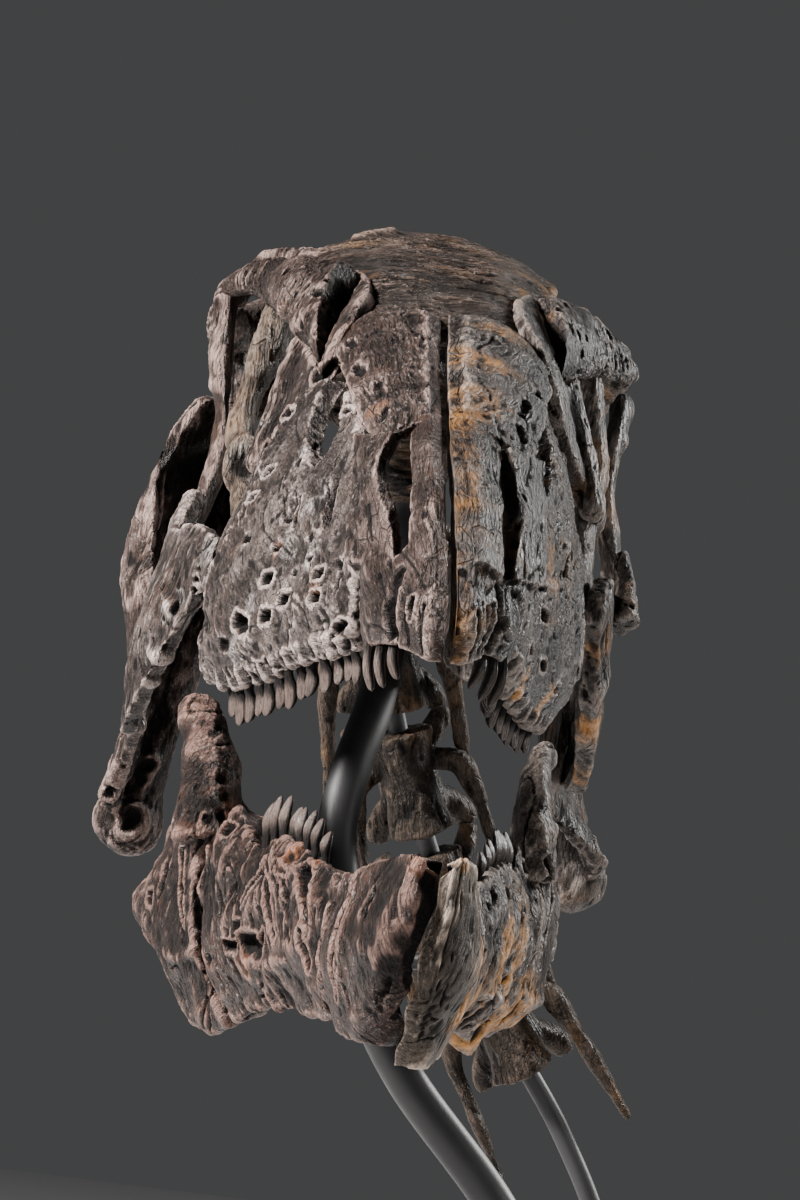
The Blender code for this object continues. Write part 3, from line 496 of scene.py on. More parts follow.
def along_grain(points, grain, stretch):
    """Places in mm with the first number counted along the grain and pressed together, so that a pattern in them
    is drawn out along the grain that many times."""
    along = np.asarray(grain, float) / np.linalg.norm(grain)
    helper = np.array([0.0, 1.0, 0.0]) if abs(along[1]) < 0.8 else np.array([1.0, 0.0, 0.0])
    second = np.cross(along, helper)
    second /= np.linalg.norm(second)
    third = np.cross(along, second)
    return np.stack([points @ along / stretch, points @ second, points @ third], axis=1)


def nearest(points, path):
    """Each point's distance from a bent line, and how far along the line that is, from 0 to 1."""
    path = np.asarray(path, float)
    best, where = np.full(len(points), 1e9), np.zeros(len(points))
    for k, (a, b) in enumerate(zip(path, path[1:])):
        t = np.clip((points - a) @ (b - a) / ((b - a) @ (b - a)), 0, 1)
        reach = np.linalg.norm(points - a - t[:, None] * (b - a), axis=1)
        where = np.where(reach < best, (k + t) / (len(path) - 1), where)
        best = np.minimum(best, reach)
    return best, where


def marks_on(points, marks):
    """The listed marks' heights in mm, and how calm the surface is round the deep ones, from 0 to 1. A mark is a
    path, its width and its height, positive for a ridge or lump and negative for a groove or hole; across the path
    it falls off as a bell does, squarer for a hole, and a deep hole has a raised rim."""
    total, calm = np.zeros(len(points)), np.zeros(len(points))
    for path, width, height in marks:
        path = np.atleast_2d(np.asarray(path, float))
        if len(path) == 1:
            path = np.vstack([path, path + 0.01])
        reach, where = nearest(points, path)
        taper = 0.35 + 0.65 * np.sin(math.pi * np.clip(where, 0.04, 0.96)) ** 0.5 if len(path) > 2 else 1.0
        reach = reach + 0.4 * width * swell(points / (1.3 * width + 1.0), 5)
        across = np.clip(reach, 0, None) / (width * taper)
        total += height * (np.exp(-across**2) if height > 0 else np.exp(-across**4))
        if height < -2.8:
            total += 0.9 * np.exp(-((across - 1.55) / 0.4) ** 2)
            calm = np.maximum(calm, np.exp(-((across / 2.3) ** 2)))
    return total, calm


def hole(x, y, z, reach, width, depth=-4.6, slope=0.33, lean=0.0):
    """An oval hole in a side wall, reaching that far to the front and to the back of its centre. The wall draws
    outward by the slope and upward by the lean for each mm to the back."""
    front = (x - slope * reach, y - reach, z - lean * reach)
    return [front, (x + slope * reach, y + reach, z + lean * reach)], width, depth


def beside_gap(points, moved, side, gap):
    """Keeps a bone off the open slit: none of its points comes nearer to the middle than gap. Both edges of the
    slit then sway together to one side, by a slow swell of their place that eases to nothing in 9 mm."""
    sway = (1.8 if gap < 1 else 0.3) * swell(points * [0, 1, 1] / 13, 3)
    moved[:, 0] = np.maximum(moved[:, 0] - 0.8 * np.clip((gap + 3 - moved[:, 0]) / 2, 0, 1), gap)
    moved[:, 0] += side * sway * np.clip(1 - moved[:, 0] / 9, 0, 1)


def stained(points, own, seed, stains):
    """How rusty each point is, from 0 to 1, or below 0 how thick with pale crust. A stain is a centre, a radius and
    a strength, with an edge frayed by swells of two sizes, and the strongest one at a point holds."""
    rust = np.zeros(len(points))
    for centre, radius, strength in stains:
        reach = np.linalg.norm(points - np.asarray(centre, float), axis=1) / radius
        spot = np.clip(1.25 - reach + 0.6 * swell(own / 7, seed + 20) + 0.5 * swell(own / 2.6, seed + 24), 0, 1)
        rust = np.where(spot * abs(strength) > np.abs(rust), spot * strength, rust)
    return rust


def weathered(points, faces, side, seed, grain, stretch=5.0, marks=(), warp=0.7, fibre=0.45, pitting=0.6,
              pit_size=5.0, pit_share=0.3, cracks=0.4, crack_size=16.0, rugged=0.15, strand=3.4, middle_gap=None,
              stains=(), mirrored=False):
    """Works the surface of a bone, in mm: slow warps, sharp crests round hollows, fibres, pits and cracks along the
    grain, and its own marks, each point moved along its normal. Gives the points, each one's place along the grain,
    how deep in a hollow it lies (the small relief, the large and the holes, together from -1 to 1) and its stain."""
    normals = normals_of(points, faces)
    shift = np.array([31.0, 17.0, 53.0]) * seed
    own = points + shift
    bent = own + 2.2 * np.stack([swell(own / 19, seed + k) for k in range(3)], axis=1)
    if mirrored:
        bent[:, 0] = np.abs(bent[:, 0] - shift[0]) + shift[0]
    lay = along_grain(bent, grain, stretch)

    def ridged(places, number, sharpness=2.2):
        """Sharp ridges where the swells cross zero, 1 high, falling by the sharpness."""
        return 1 - sharpness * np.abs(swell(places, seed + number))

    def patchy(size, number, middle, reach, low, high):
        """A strength that changes slowly from patch to patch, kept from low to high."""
        return np.clip(middle + reach * swell(own / size, seed + number), low, high)

    threads = 0.75 * ridged(lay / strand, 11) + 0.4 * ridged(lay / (0.5 * strand), 12) - 0.4
    split = np.clip(1 - np.abs(swell(lay / crack_size, seed + 14)) / 0.045, 0, 1)
    split = split * (swell(own / 30, seed + 15) > -0.1)
    pocked = pits(along_grain(bent, grain, 2.0) / pit_size, seed + 16, pit_share)
    small = pits(along_grain(bent, grain, 1.6) / (pit_size * 0.5), seed + 17, pit_share)
    height = 1.5 * warp * rough(own / 22, seed + 18, 3) + 1.1 * fibre * patchy(22, 13, 0.6, 1.3, 0.08, 1.6) * threads
    height -= 1.35 * pitting * (pocked + 0.5 * small) * patchy(30, 19, 0.4, 1.7, 0, 1.3)
    height -= 1.6 * cracks * split
    crests = along_grain(bent, grain, 1.0 + 0.3 * stretch) / 12.0
    crests = ridged(crests, 21, 2.4) + ridged(crests * 2.1, 22, 1.1) - 1
    height += 2.1 * rugged * patchy(31, 23, 0.7, 1.0, 0.1, 1.5) * np.clip(crests, -1.6, 0.9)
    made, calm = marks_on(points, marks)
    height = height * (1 - 0.75 * calm) + made
    if middle_gap is not None:
        share = np.clip((points[:, 0] - middle_gap) / 5, 0.12, 1)
        height *= np.where(height < 0, np.maximum(share, 0.4), share)
    moved = points + np.clip(height, -4.8, 3.5)[:, None] * normals
    if middle_gap is not None:
        beside_gap(points, moved, side, middle_gap)
    turned_normals = normals_of(moved, faces)
    near, far = (hollows_of(moved, faces, turned_normals, rounds) for rounds in (3, 22))
    # Painted shade: deep marks and large pits count as deep hollows, so the finish paints them black. The finish
    # paints hollow as shade where it is above 0 and as highlight on crests below 0.
    holes = 0.7 * np.clip(-made - 1.8, 0, 2) + 0.8 * (pitting * pocked > 0.3) * pocked
    hollow = np.clip(near / 0.22 * 0.3 + far / 1.2 * 0.6 - 0.22 * np.clip(height, -2, 1.5) + holes, -1, 1)
    return moved, lay / 10.0, hollow, stained(points, own, seed, stains)


stone, taken, given = pattern_group("fossil_surface", [
    ("Place", VECTOR, None), ("Lay", VECTOR, None), ("Hollow", NUMBER, 0.0), ("Rust", NUMBER, 0.0),
    ("Light", COLOUR, None), ("Middle", COLOUR, None), ("Dark", COLOUR, None), ("Stain", COLOUR, None),
    ("Stain Share", NUMBER, 0.3), ("Crust", NUMBER, 0.4),
], [("Colour", COLOUR), ("Roughness", NUMBER), ("Height", NUMBER)])


def field(vector, scale, detail=4.0, rough_share=0.6):
    """Clouded noise in the fossil surface, that many clouds to the metre or, along the grain, to the centimetre."""
    return put(stone, "ShaderNodeTexNoise", {
        "Vector": taken[vector], "Scale": scale, "Detail": detail, "Roughness": rough_share}).outputs[0]


def part_of(value, low, high, to_low=0.0, to_high=1.0):
    """A mask in the fossil surface: the value's eased share of the way from low to high."""
    return ranged(stone, value, low, high, to_low, to_high)


def layer(under, share, colour, blend="MIX"):
    """The colours so far with one more laid over them by that share."""
    return mixed(stone, share, under, taken[colour] if isinstance(colour, str) else (*colour, 1.0), blend)


HOLE_SHADE_BLACK, PORE_SHADE_BLACK, CRACK_BLACK = (0.003, 0.0024, 0.0022), (0.006, 0.005, 0.0045), (0.012, 0.01, 0.009)
CRUST_GREY = (0.21, 0.195, 0.185)
streak = field("Lay", 4.2, 6.0, 0.68)
thread = field("Lay", 13.0, 4.0, 0.62)
patches = field("Place", 34.0, 5.0, 0.6)
blotch = field("Place", 85.0, 4.0, 0.65)
speck = field("Place", 620.0, 3.0, 0.7)
iron = field("Place", 24.0, 6.0, 0.7)
shade = field("Place", 16.0, 3.0, 0.55)
grains = put(stone, "ShaderNodeTexVoronoi", {"Vector": taken["Lay"], "Scale": 9.0, "Randomness": 1.0})
web = put(stone, "ShaderNodeTexVoronoi", {"Vector": taken["Lay"], "Scale": 2.6}, feature="DISTANCE_TO_EDGE")
# The stone itself: paler and darker patches, streaks along the grain and fibres.
tint = mixed(stone, part_of(patches, 0.44, 0.66, 0.0, 0.35), taken["Middle"], taken["Light"])
tint = layer(tint, part_of(shade, 0.46, 0.66, 0.0, 0.55), "Dark")
tint = layer(tint, times(stone, part_of(streak, 0.5, 0.66), 0.45), "Dark")
tint = layer(tint, times(stone, part_of(blotch, 0.52, 0.68), 0.6), "Dark")
tint = layer(tint, times(stone, part_of(thread, 0.55, 0.72), 0.3), "Light")
tint = layer(tint, part_of(thread, 0.36, 0.5, 0.5, 0.0), "Dark")
# Iron stain, by chance and where the bone's own stains lie, and pale crust as a fine dust or in crusted spots.
ochre = times(stone, part_of(iron, 0.53, 0.68), taken["Stain Share"])
ochre = times(stone, ochre, part_of(taken["Rust"], 0.05, 0.6), "MAXIMUM")
ochre = times(stone, ochre, part_of(blotch, 0.3, 0.55, 0.55, 1.0))
ochre = times(stone, ochre, part_of(streak, 0.4, 0.58, 0.55, 1.0))
tint = layer(tint, ochre, "Stain")
crusted = part_of(times(stone, taken["Rust"], -1.0), 0.05, 0.7, 0.0, 0.8)
crusted = times(stone, crusted, part_of(thread, 0.42, 0.58, 0.1, 1.0))
crust = times(stone, part_of(speck, 0.56, 0.7), times(stone, part_of(patches, 0.42, 0.6), taken["Crust"]))
tint = layer(tint, times(stone, crust, crusted, "MAXIMUM"), CRUST_GREY)
# Edges and crests painted pale: partly wear and partly painted highlight.
worn_and_highlit = part_of(times(stone, taken["Hollow"], -1.0), 0.32, 0.95)
tint = layer(tint, times(stone, worn_and_highlit, part_of(thread, 0.36, 0.6, 0.5, 1.0)), "Light", "ADD")
# Pores with torn edges painted black as shade, then painted shade that darkens every hollow, painted black shade in
# the deep holes, and black fine cracks.
tearing = put(stone, "ShaderNodeTexNoise", {"Vector": taken["Lay"], "Scale": 9.0, "Detail": 3.0}).outputs[1]
torn = put(stone, "ShaderNodeVectorMath", {
    0: taken["Lay"], 1: mixed(stone, 0.5, tearing, (0, 0, 0, 1))}, operation="ADD").outputs[0]
pores = put(stone, "ShaderNodeTexVoronoi", {"Vector": torn, "Scale": 6.5, "Randomness": 1.0}).outputs["Distance"]
pore = times(stone, part_of(pores, 0.1, 0.22, 1.0, 0.0), part_of(blotch, 0.55, 0.62))
# Painted shade: the pores are painted near black.
tint = layer(tint, times(stone, pore, 0.85), PORE_SHADE_BLACK)
# Painted shade: every hollow is darkened, and the deepest ones are painted black.
tint = layer(tint, part_of(taken["Hollow"], -0.22, 0.28, 0.0, 0.85), "Dark")
tint = layer(tint, part_of(taken["Hollow"], 0.22, 0.6, 0.0, 0.98), HOLE_SHADE_BLACK)
hairline = times(stone, part_of(web.outputs["Distance"], 0.0, 0.035, 0.75, 0.0), part_of(patches, 0.44, 0.6))
stone.links.new(layer(tint, hairline, CRACK_BLACK), given["Colour"])
# The shaded hollows are matt and the fibres are a little glossy.
matt = part_of(taken["Hollow"], 0.0, 0.4, 0.0, 0.95)
stone.links.new(times(stone, part_of(thread, 0.35, 0.65, 0.28, 0.5), matt, "MAXIMUM"), given["Roughness"])
# The finest relief: fibres, streaks and grains stand up, and cracks and pores are sunk.
relief = thread
for source, share in (
    (speck, 0.75), (grains.outputs["Distance"], 0.5), (streak, 1.0), (hairline, -0.8), (pore, -1.6),
):
    relief = times(stone, relief, times(stone, source, share), "ADD")
stone.links.new(relief, given["Height"])


BONE_SHEEN = 0.1


def fossil_finish(name, light, middle, dark, stain, stain_share=0.3, crust_share=0.4, bump=0.85):
    """Bone turned to stone in the given tones, with iron stain and dusty crust over those shares of it, and with
    its finest relief raised that much."""
    made, tree, shader = finish(name, 0.6)
    use = put(tree, "ShaderNodeGroup", {}, node_tree=stone)
    tree.links.new(put(tree, "ShaderNodeTexCoord").outputs["Object"], use.inputs["Place"])
    for label, source in (("Lay", "Vector"), ("Hollow", "Fac"), ("Rust", "Fac")):
        read = put(tree, "ShaderNodeAttribute", {}, attribute_name=label.lower())
        tree.links.new(read.outputs[source], use.inputs[label])
    for label, value in (("Light", light), ("Middle", middle), ("Dark", dark), ("Stain", stain)):
        use.inputs[label].default_value = (*value, 1.0)
    use.inputs["Stain Share"].default_value = stain_share
    use.inputs["Crust"].default_value = crust_share
    tree.links.new(use.outputs["Colour"], shader.inputs["Base Color"])
    tree.links.new(use.outputs["Roughness"], shader.inputs["Roughness"])
    shader.inputs["Specular IOR Level"].default_value = BONE_SHEEN
    lift = put(tree, "ShaderNodeBump", {"Height": use.outputs["Height"], "Strength": bump, "Distance": 0.0022})
    tree.links.new(lift.outputs[0], shader.inputs["Normal"])
    return made


def set_marks(mesh, lay, hollow, rust):
    """Stores what the finish reads at each point."""
    for label, kind, field_name, values in (
        ("lay", "FLOAT_VECTOR", "vector", lay), ("hollow", "FLOAT", "value", hollow),
        ("rust", "FLOAT", "value", rust),
    ):
        mesh.attributes.new(label, kind, "POINT").data.foreach_set(field_name, np.asarray(values, np.float32).ravel())


def skewed(places):
    """Points of the crushed skull: near the middle x moves left by the amount that the snout's slit, read along
    y, or the chin's cleft, read along z, has strayed, and the move eases evenly to nothing 24 mm to each side."""
    x, y, z = places.T
    snout = np.interp(y, (0, 24, 66, 136, 178, 230), (1.0, -2.0, -4.0, -3.5, -2.0, 0.0))
    chin = np.interp(z, (-112, -83, -57), (2.5, 4.7, 8.0)) * np.interp(y, (50, 90), (1.0, 0.0))
    moved = places.copy()
    moved[:, 0] += np.where(z > -40, snout, chin) * np.clip(1 - np.abs(x) / 24, 0, 1)
    return moved


def bone(name, skins, side, seed, looks, grain, cell=1.0, teeth=(), openings=(), **working):
    """The bone that stands for the node of its own name, from blanks in the skull's frame, with x measured outward
    from the middle. Teeth are closed skins that take the second finish."""
    points, faces = fused(skins, cell, openings)
    faces = facing_out(points, faces)
    points, lay, hollow, rust = weathered(points, faces, side, seed, grain, **working)
    bone_faces = len(faces)
    if teeth:
        crowns, crown_faces, crown_lay, crown_hollow = teeth
        faces = np.vstack([faces, crown_faces + len(points)])
        lay = np.vstack([lay, crown_lay])
        hollow = np.concatenate([hollow, crown_hollow])
        rust = np.concatenate([rust, np.zeros(len(crowns))])
        points = np.vstack([points, crowns])
    places = points * (side, 1.0, 1.0)
    placed = ((places if name.startswith("neck_") else skewed(places)) + SKULL_PLACE) * 0.001
    mesh = mesh_of(name, placed, faces[:, ::-1] if side == RIGHT else faces)
    set_marks(mesh, lay, hollow, rust)
    piece(name, mesh, looks, name)
    mesh.polygons.foreach_set("material_index", (np.arange(len(faces)) >= bone_faces).astype(np.int32))


RIGHT, LEFT = -1, 1
SIDES = {"right": RIGHT, "left": LEFT}
tan_bone = fossil_finish("tan_fossil", (0.088, 0.066, 0.050), (0.034, 0.0245, 0.0185), (0.007, 0.005, 0.004),
                         (0.15, 0.075, 0.024), 0.4)
bone("braincase", [
    egg((0, 356, 132), (27, 32, 40)),
    egg((0, 386, 136), (34, 10, 26)),
    oval_bar([(-68, 389, 122), (-46, 391, 130), (-20, 388, 132), (20, 388, 132), (46, 391, 130), (68, 389, 122)],
             [(9, 5), (8, 5), (11, 6), (11, 6), (8, 5), (9, 5)], wide=(0, 0, 1)),
    oval_bar([(0, 394, 106), (0, 366, 98), (0, 344, 82), (0, 334, 58)], [(12, 11), (14, 13), (15, 11), (13, 8)]),
    egg((0, 400, 107), (12, 10, 11)),
], LEFT, 1, [tan_bone], (1, 0, 0), 1.3, openings=[egg((0, 400, 134), (9, 22, 9))], warp=1.0, pitting=0.9,
    marks=[mark for hand in SIDES.values() for mark in (
        ([(hand * 16, 342, 110)], 4, -3.5), ([(hand * 20, 356, 96)], 3, -3),
        ([(hand * 24, 394, 122), (hand * 50, 397, 128)], 4, -1.5))])

# ---------------------------------------------------------------- palpebrals
# The brow spikes that hang free over the eyes from a rough joint at the front. The right one is thick and cone
# shaped, coarsely pitted at its root and wrinkled round its tip, and the left one is crushed flatter.
# The right side's rosy tones and the left side's slate tones are partly the bones' own colour and partly painted
# light: warm light painted on the right, cool light painted on the left.
right_bone = fossil_finish("rosy_warm_lit_fossil", (0.165, 0.118, 0.103), (0.0175, 0.0113, 0.0094), (0.0034, 0.0021, 0.0017),
                           (0.12, 0.055, 0.026), 0.2, 0.8)
left_bone = fossil_finish("slate_cool_lit_fossil", (0.135, 0.112, 0.098), (0.0178, 0.0141, 0.0124), (0.0034, 0.0025, 0.0023),
                          (0.34, 0.16, 0.045), 0.45, 0.45)
FINISH = {RIGHT: right_bone, LEFT: left_bone}
brow = {
    RIGHT: [
        ((36, 224, 134), (-1, 24, 25), (8, -7, 0)), ((47, 246, 143.5), (0, 15, 17.5), (7, -6, 0)),
        ((55, 265, 150), (0, 9, 12), (6, -5, 0)), ((66, 289, 154.5), (0, 5, 7), (4.5, -4, 0)),
        ((76, 308, 154), (0, 2.5, 3.5), (2.5, -2, 0)),
    ],
    LEFT: [
        ((38, 238, 138), (-1, 18, 19), (6.5, -6, 0)), ((48, 260, 143), (0, 14, 16), (6, -6, 0)),
        ((59, 282, 145), (0, 10, 12), (5, -5, 0)), ((69, 300, 145), (0, 6, 8), (4, -4, 0)),
        ((77, 314, 144), (0, 3, 4), (2.5, -2, 0)),
    ],
}
root_pits = {
    RIGHT: [([(47, 234, 150)], 1.8, -2.2), ([(44, 226, 142)], 2.2, -2.6), ([(50, 240, 139)], 1.8, -2.0),
            ([(42, 221, 130)], 2.0, -2.6), ([(38, 214, 124)], 1.8, -2.4),
            ([(36, 236, 148), (36, 224, 135), (37, 212, 122)], 6.5, -1.3)],
    LEFT: [([(62, 285, 152)], 3.4, -3.4)],
}
SEAT_GAP = 2.0


def spike(ovals, proud=0.0, steps=10, sides=40):
    """Ovals lofted along splines, each given by its centre and by the vectors to its top and to its side, which
    are lengthened by proud mm to cut a seat for the spike."""
    centres, tops, outs = (smooth_through([oval[k] for oval in ovals], steps) for k in range(3))
    tops, outs = (v * (1 + proud / np.linalg.norm(v, axis=1, keepdims=True)) for v in (tops, outs))
    turn = np.linspace(0, 2 * math.pi, sides, endpoint=False)[None, :, None]
    return skin_over(centres[:, None] + tops[:, None] * np.cos(turn) + outs[:, None] * np.sin(turn))


for word, side in SIDES.items():
    wrinkles = [([(x - 7, y + 5, z - 3), (x + 3, y - 6, z + 2), (x + 4, y - 8, z - 7)], 1.1, -1.3)
                for x, y, z in smooth_through([oval[0] for oval in brow[side]], 4)[7:16]]
    bone(f"palpebral_{word}", [spike(brow[side])], side, 12 + (side == LEFT), [FINISH[side]], (-0.4, 0.45, 0.8), 0.7,
         marks=wrinkles + root_pits[side], pitting=1.35, pit_size=3.8, pit_share=0.4, fibre=0.5, rugged=0.35,
         warp=0.9, strand=2.2)

# ---------------------------------------------------------------- skull roof
# The frontals and parietals, grown together into one thick slab that rises from the snout to the back of the
# head. Its fibres fan out sideways from the middle line, and a flake of the top layer has sprung up at the right
# edge.
def plate(sections, thickness, steps=7, inward=1.0):
    """A slab lofted through its sections: both directions are splines, and the skins stand off the sheet along
    its normal, all of the wall on the inner side for inward 1 and half on each side for 0."""
    across = [smooth_through(section, steps) for section in sections]
    rows = np.stack([smooth_through([row[j] for row in across], steps) for j in range(len(across[0]))], axis=1)
    normal = np.cross(np.gradient(rows, axis=0), np.gradient(rows, axis=1))
    normal /= np.linalg.norm(normal, axis=2, keepdims=True) + 1e-9
    if normal[..., 0].mean() + 0.5 * normal[..., 2].mean() < 0:
        normal = -normal
    outer = rows + normal * thickness * (1 - inward) / 2
    return skin_over(np.concatenate([outer, (outer - normal * thickness)[:, ::-1]], axis=1))


roof_bone = fossil_finish("roof_fossil", (0.155, 0.110, 0.088), (0.0205, 0.0132, 0.0100), (0.0038, 0.0029, 0.0023),
                          (0.22, 0.11, 0.035), 0.3, 0.55)
half_roof = [
    [(30, 204, 125), (16, 199, 131), (0, 197, 131.5)],
    [(33, 238, 142), (18, 232, 147.5), (0, 230, 148)],
    [(40, 274, 159), (20, 270, 165), (0, 268, 165.5)],
    [(46, 308, 170), (24, 306, 177), (0, 304, 178)],
    [(40, 338, 178), (22, 338, 187), (0, 336, 189)],
    [(30, 372, 172), (14, 372, 186), (0, 370, 188)],
    [(24, 390, 150), (12, 392, 160), (0, 392, 162)],
]
roof_marks = [([(-30, 322, 181), (-24, 327, 184), (-17, 330, 186)], 4.0, 2.6),
              ([(-26, 316, 180), (-16, 322, 185)], 1.6, -1.6)]
for k in range(9):
    back, rise = 246 + 9.5 * k, 154 + 4.6 * k - 0.12 * k * k
    for hand in SIDES.values():
        roof_marks.append(([(hand * 3, back - 4, rise + 1), (hand * 16, back, rise), (hand * 30, back + 7, rise - 4),
                            (hand * 44, back + 16, rise - 9)], 1.5, -1.1))
seats = [spike([[np.array(v) * (side, 1, 1) for v in oval] for oval in brow[side]], SEAT_GAP) for side in brow]
bone("skull_roof", [plate([row + [(-x, y, z) for x, y, z in row[-2::-1]] for row in half_roof], 8.0)], LEFT, 2,
     [roof_bone], (1.0, 0.35, 0.0), 0.85, openings=seats, marks=roof_marks, mirrored=True, stretch=7.0, fibre=0.6,
     rugged=0.3, pitting=0.7, strand=2.2,
     stains=[((40, 290, 166), 12, 0.5), ((30, 262, 156), 9, 0.45), ((44, 306, 168), 8, 0.5)])

# ---------------------------------------------------------------- premaxillae
# The paired beak bones. Each has a swollen, grooved knob in front, a bar that runs up the middle beside the nostril
# and another behind it, and three long peg teeth set in its edge. They are one bone each and meet at the open slit.
def crown(root, tip, width, depth, wide, ribs=0, bow=0.0, waist=0.62, taper=2.3):
    """A tooth crown: rings from root to tip whose half width swells past the neck and then narrows to the tip.
    Ribs run down its faces as cosine waves, small notches run down its upper edges, and bow bends it. Gives its
    points, its faces, its places along the grain and its hollows, which are painted shade at the root, in the rib
    grooves and down both sides, and painted highlight at the tip."""
    root, tip, wide = (np.asarray(v, float) for v in (root, tip, wide))
    fall = tip - root
    deep = np.cross(fall / np.linalg.norm(fall), wide)
    deep /= np.linalg.norm(deep)
    wide = np.cross(deep, fall / np.linalg.norm(fall))
    v = np.linspace(-0.35, 1.0, 30)[:, None]
    turn = np.linspace(0, 2 * math.pi, 36, endpoint=False)[None]
    low = np.clip(v / 0.5, 0, 1)
    high = np.clip((v - 0.5) / 0.5, 0, 1)
    size = (waist + (1 - waist) * np.sin(low * math.pi / 2) ** 2) * np.sqrt(np.clip(1 - high**taper, 0.004, 1))
    notch = 1 + 0.035 * np.cos(26 * math.pi * v) * (high > 0) * (ribs > 0)
    across = width / 2 * size * notch * np.cos(turn)
    rib = 0.5 + 0.5 * np.cos(ribs * math.pi * np.cos(turn)) if ribs else 1.0 + 0 * turn
    thick = depth / 2 * (0.55 + 0.45 * (1 - high**1.5)) * size**0.5 * np.sin(turn) * (0.72 + 0.28 * rib)
    centre = root + v[..., None] * fall + bow * deep * np.sin(math.pi * np.clip(v, 0, 1))[..., None]
    rows = centre + across[..., None] * wide + thick[..., None] * deep
    points, faces = skin_over(rows)
    # Painted shade and highlight: dark at the root, in the rib grooves and down the sides, and light towards the tip.
    hollow = 0.95 - 1.5 * np.clip((v + 0.1) / 0.6, 0, 1) + 0.4 * (1 - rib) * (ribs > 0)
    hollow = hollow + 0.9 * np.abs(np.cos(turn)) ** 5
    lay = along_grain(points, fall, 5.0) / 10.0
    return points, facing_out(points, faces), lay, np.broadcast_to(hollow, rows.shape[:2]).ravel()


def row_of(crowns):
    """All the crowns of one bone together."""
    starts = np.cumsum([0] + [len(one[0]) for one in crowns])
    return (np.vstack([one[0] for one in crowns]), np.vstack([one[1] + start for one, start in zip(crowns, starts)]),
            np.vstack([one[2] for one in crowns]), np.concatenate([one[3] for one in crowns]))


ENAMEL = {
    RIGHT: fossil_finish("grey_enamel", (0.105, 0.080, 0.070), (0.045, 0.0325, 0.0275), (0.007, 0.0048, 0.0040),
                         (0.12, 0.075, 0.04), 0.12, 0.25, 0.35),
    LEFT: fossil_finish("dark_enamel", (0.075, 0.060, 0.053), (0.028, 0.0220, 0.0192), (0.0055, 0.0042, 0.0037),
                        (0.10, 0.06, 0.03), 0.2, 0.2, 0.35),
}
beak = [
    [(0.5, 5, 0), (0.5, 3, 8), (0.5, 6, 18), (0.5, 12, 28), (0.5, 18, 37)],
    [(6, 8, 0), (7, 6, 9), (8, 9, 19), (8, 14, 29), (8, 20, 38)],
    [(11, 17, 3), (13, 16, 11), (13.5, 17, 20), (13, 20, 29), (12, 25, 36)],
    [(16, 27, 5), (18.5, 26, 12), (19, 27, 19), (18.5, 29, 25), (18, 31, 30)],
    [(19, 34, 5), (22, 34, 12), (23, 35, 20), (24, 37, 27), (23, 39, 33)],
    [(22, 46, 5), (24, 46, 12), (25, 47, 20), (26, 50, 30), (26, 53, 40)],
]


def snout_front(side):
    """The bar between the nostril and the slit, and the wall behind the nostril, as two sheets whose edges are
    the nostril's rim."""
    wide = 12.5 if side == RIGHT else 15.5
    inner = [[(0.5, y, z), (0.55 * wide, y - 1, z + 0.5), (wide, y + 4, z - 2.5)]
             for y, z in ((15, 31), (27, 44), (42, 57), (62, 70), (86, 84))]
    edge = (16.5, 19, 23.5, 24.5, 19.5) if side == RIGHT else (20, 21, 21.5, 20, 18)
    wall = [[(x, 30 + 1.02 * (z - 30), z), (0.5 * (x + 31), 39 + 1.04 * (z - 30), z),
             (31, 51 + 1.08 * (z - 30), z + 1)] for x, z in zip(edge, (30, 44, 54, 64, 76))]
    return [plate(inner, 7.5), plate(wall, 5.5)]


SLIT_HALF = 1.4
beak_marks = [
    ([(10.5, 12, 17), (10, 12, 13)], 1.5, -3.0), ([(7, 7, 24), (6, 4, 12), (5, 5, 2)], 4.4, 1.8),
    ([(15, 22, 27), (15.5, 22, 14), (14.5, 21, 4)], 3.6, -2.5), ([(12, 15, 15), (12, 14, 8), (11, 14, 3)], 1.4, -1.3),
    ([(7.5, 8, 16), (8, 7, 9), (7, 8, 2)], 1.2, -1.2), ([(16, 23, 18), (15.5, 22, 11), (14, 22, 5)], 1.5, -1.6),
    ([(13.5, 18, 20), (14, 18, 11)], 1.8, 1.0),
    ([(26, 55, 26), (26.5, 56, 16), (25.5, 56, 7)], 3.2, -3.2),
    ([(5, 69, 77.5), (11, 70, 77), (18, 75, 76)], 1.0, -1.1),
    ([(4, 31, 50), (9, 30, 50), (14, 33, 50)], 0.9, -1.0), ([(19, 33, 24)], 2.4, -2.2),
    ([(9, 26, 38), (8, 45, 53), (8, 62, 67)], 2.6, 0.9),
]
for word, side in SIDES.items():
    pegs = [crown((x, y, 7), (x - 2.0, y - 1.5, 7 - length), 4.4, 3.8, (0.35, 0.94, 0), 3, 1.4, 0.85, taper=5.0)
            for (x, y), length in zip(((19.5, 39), (16.3, 33.5), (12.6, 28)), (15.5, 14.5, 12.0))]
    bone(f"premaxilla_{word}", [
        plate(beak, 9.0), *snout_front(side),
    ], side, 4 + (side == LEFT), [FINISH[side], ENAMEL[side]], (0, 0.75, 0.65), 0.75, row_of(pegs), marks=beak_marks,
        middle_gap=SLIT_HALF, warp=0.5, fibre=0.42, pitting=0.5, pit_size=4.2,
        stains=[((8, 40, 48), 6, 0.4)] if side == LEFT else [])

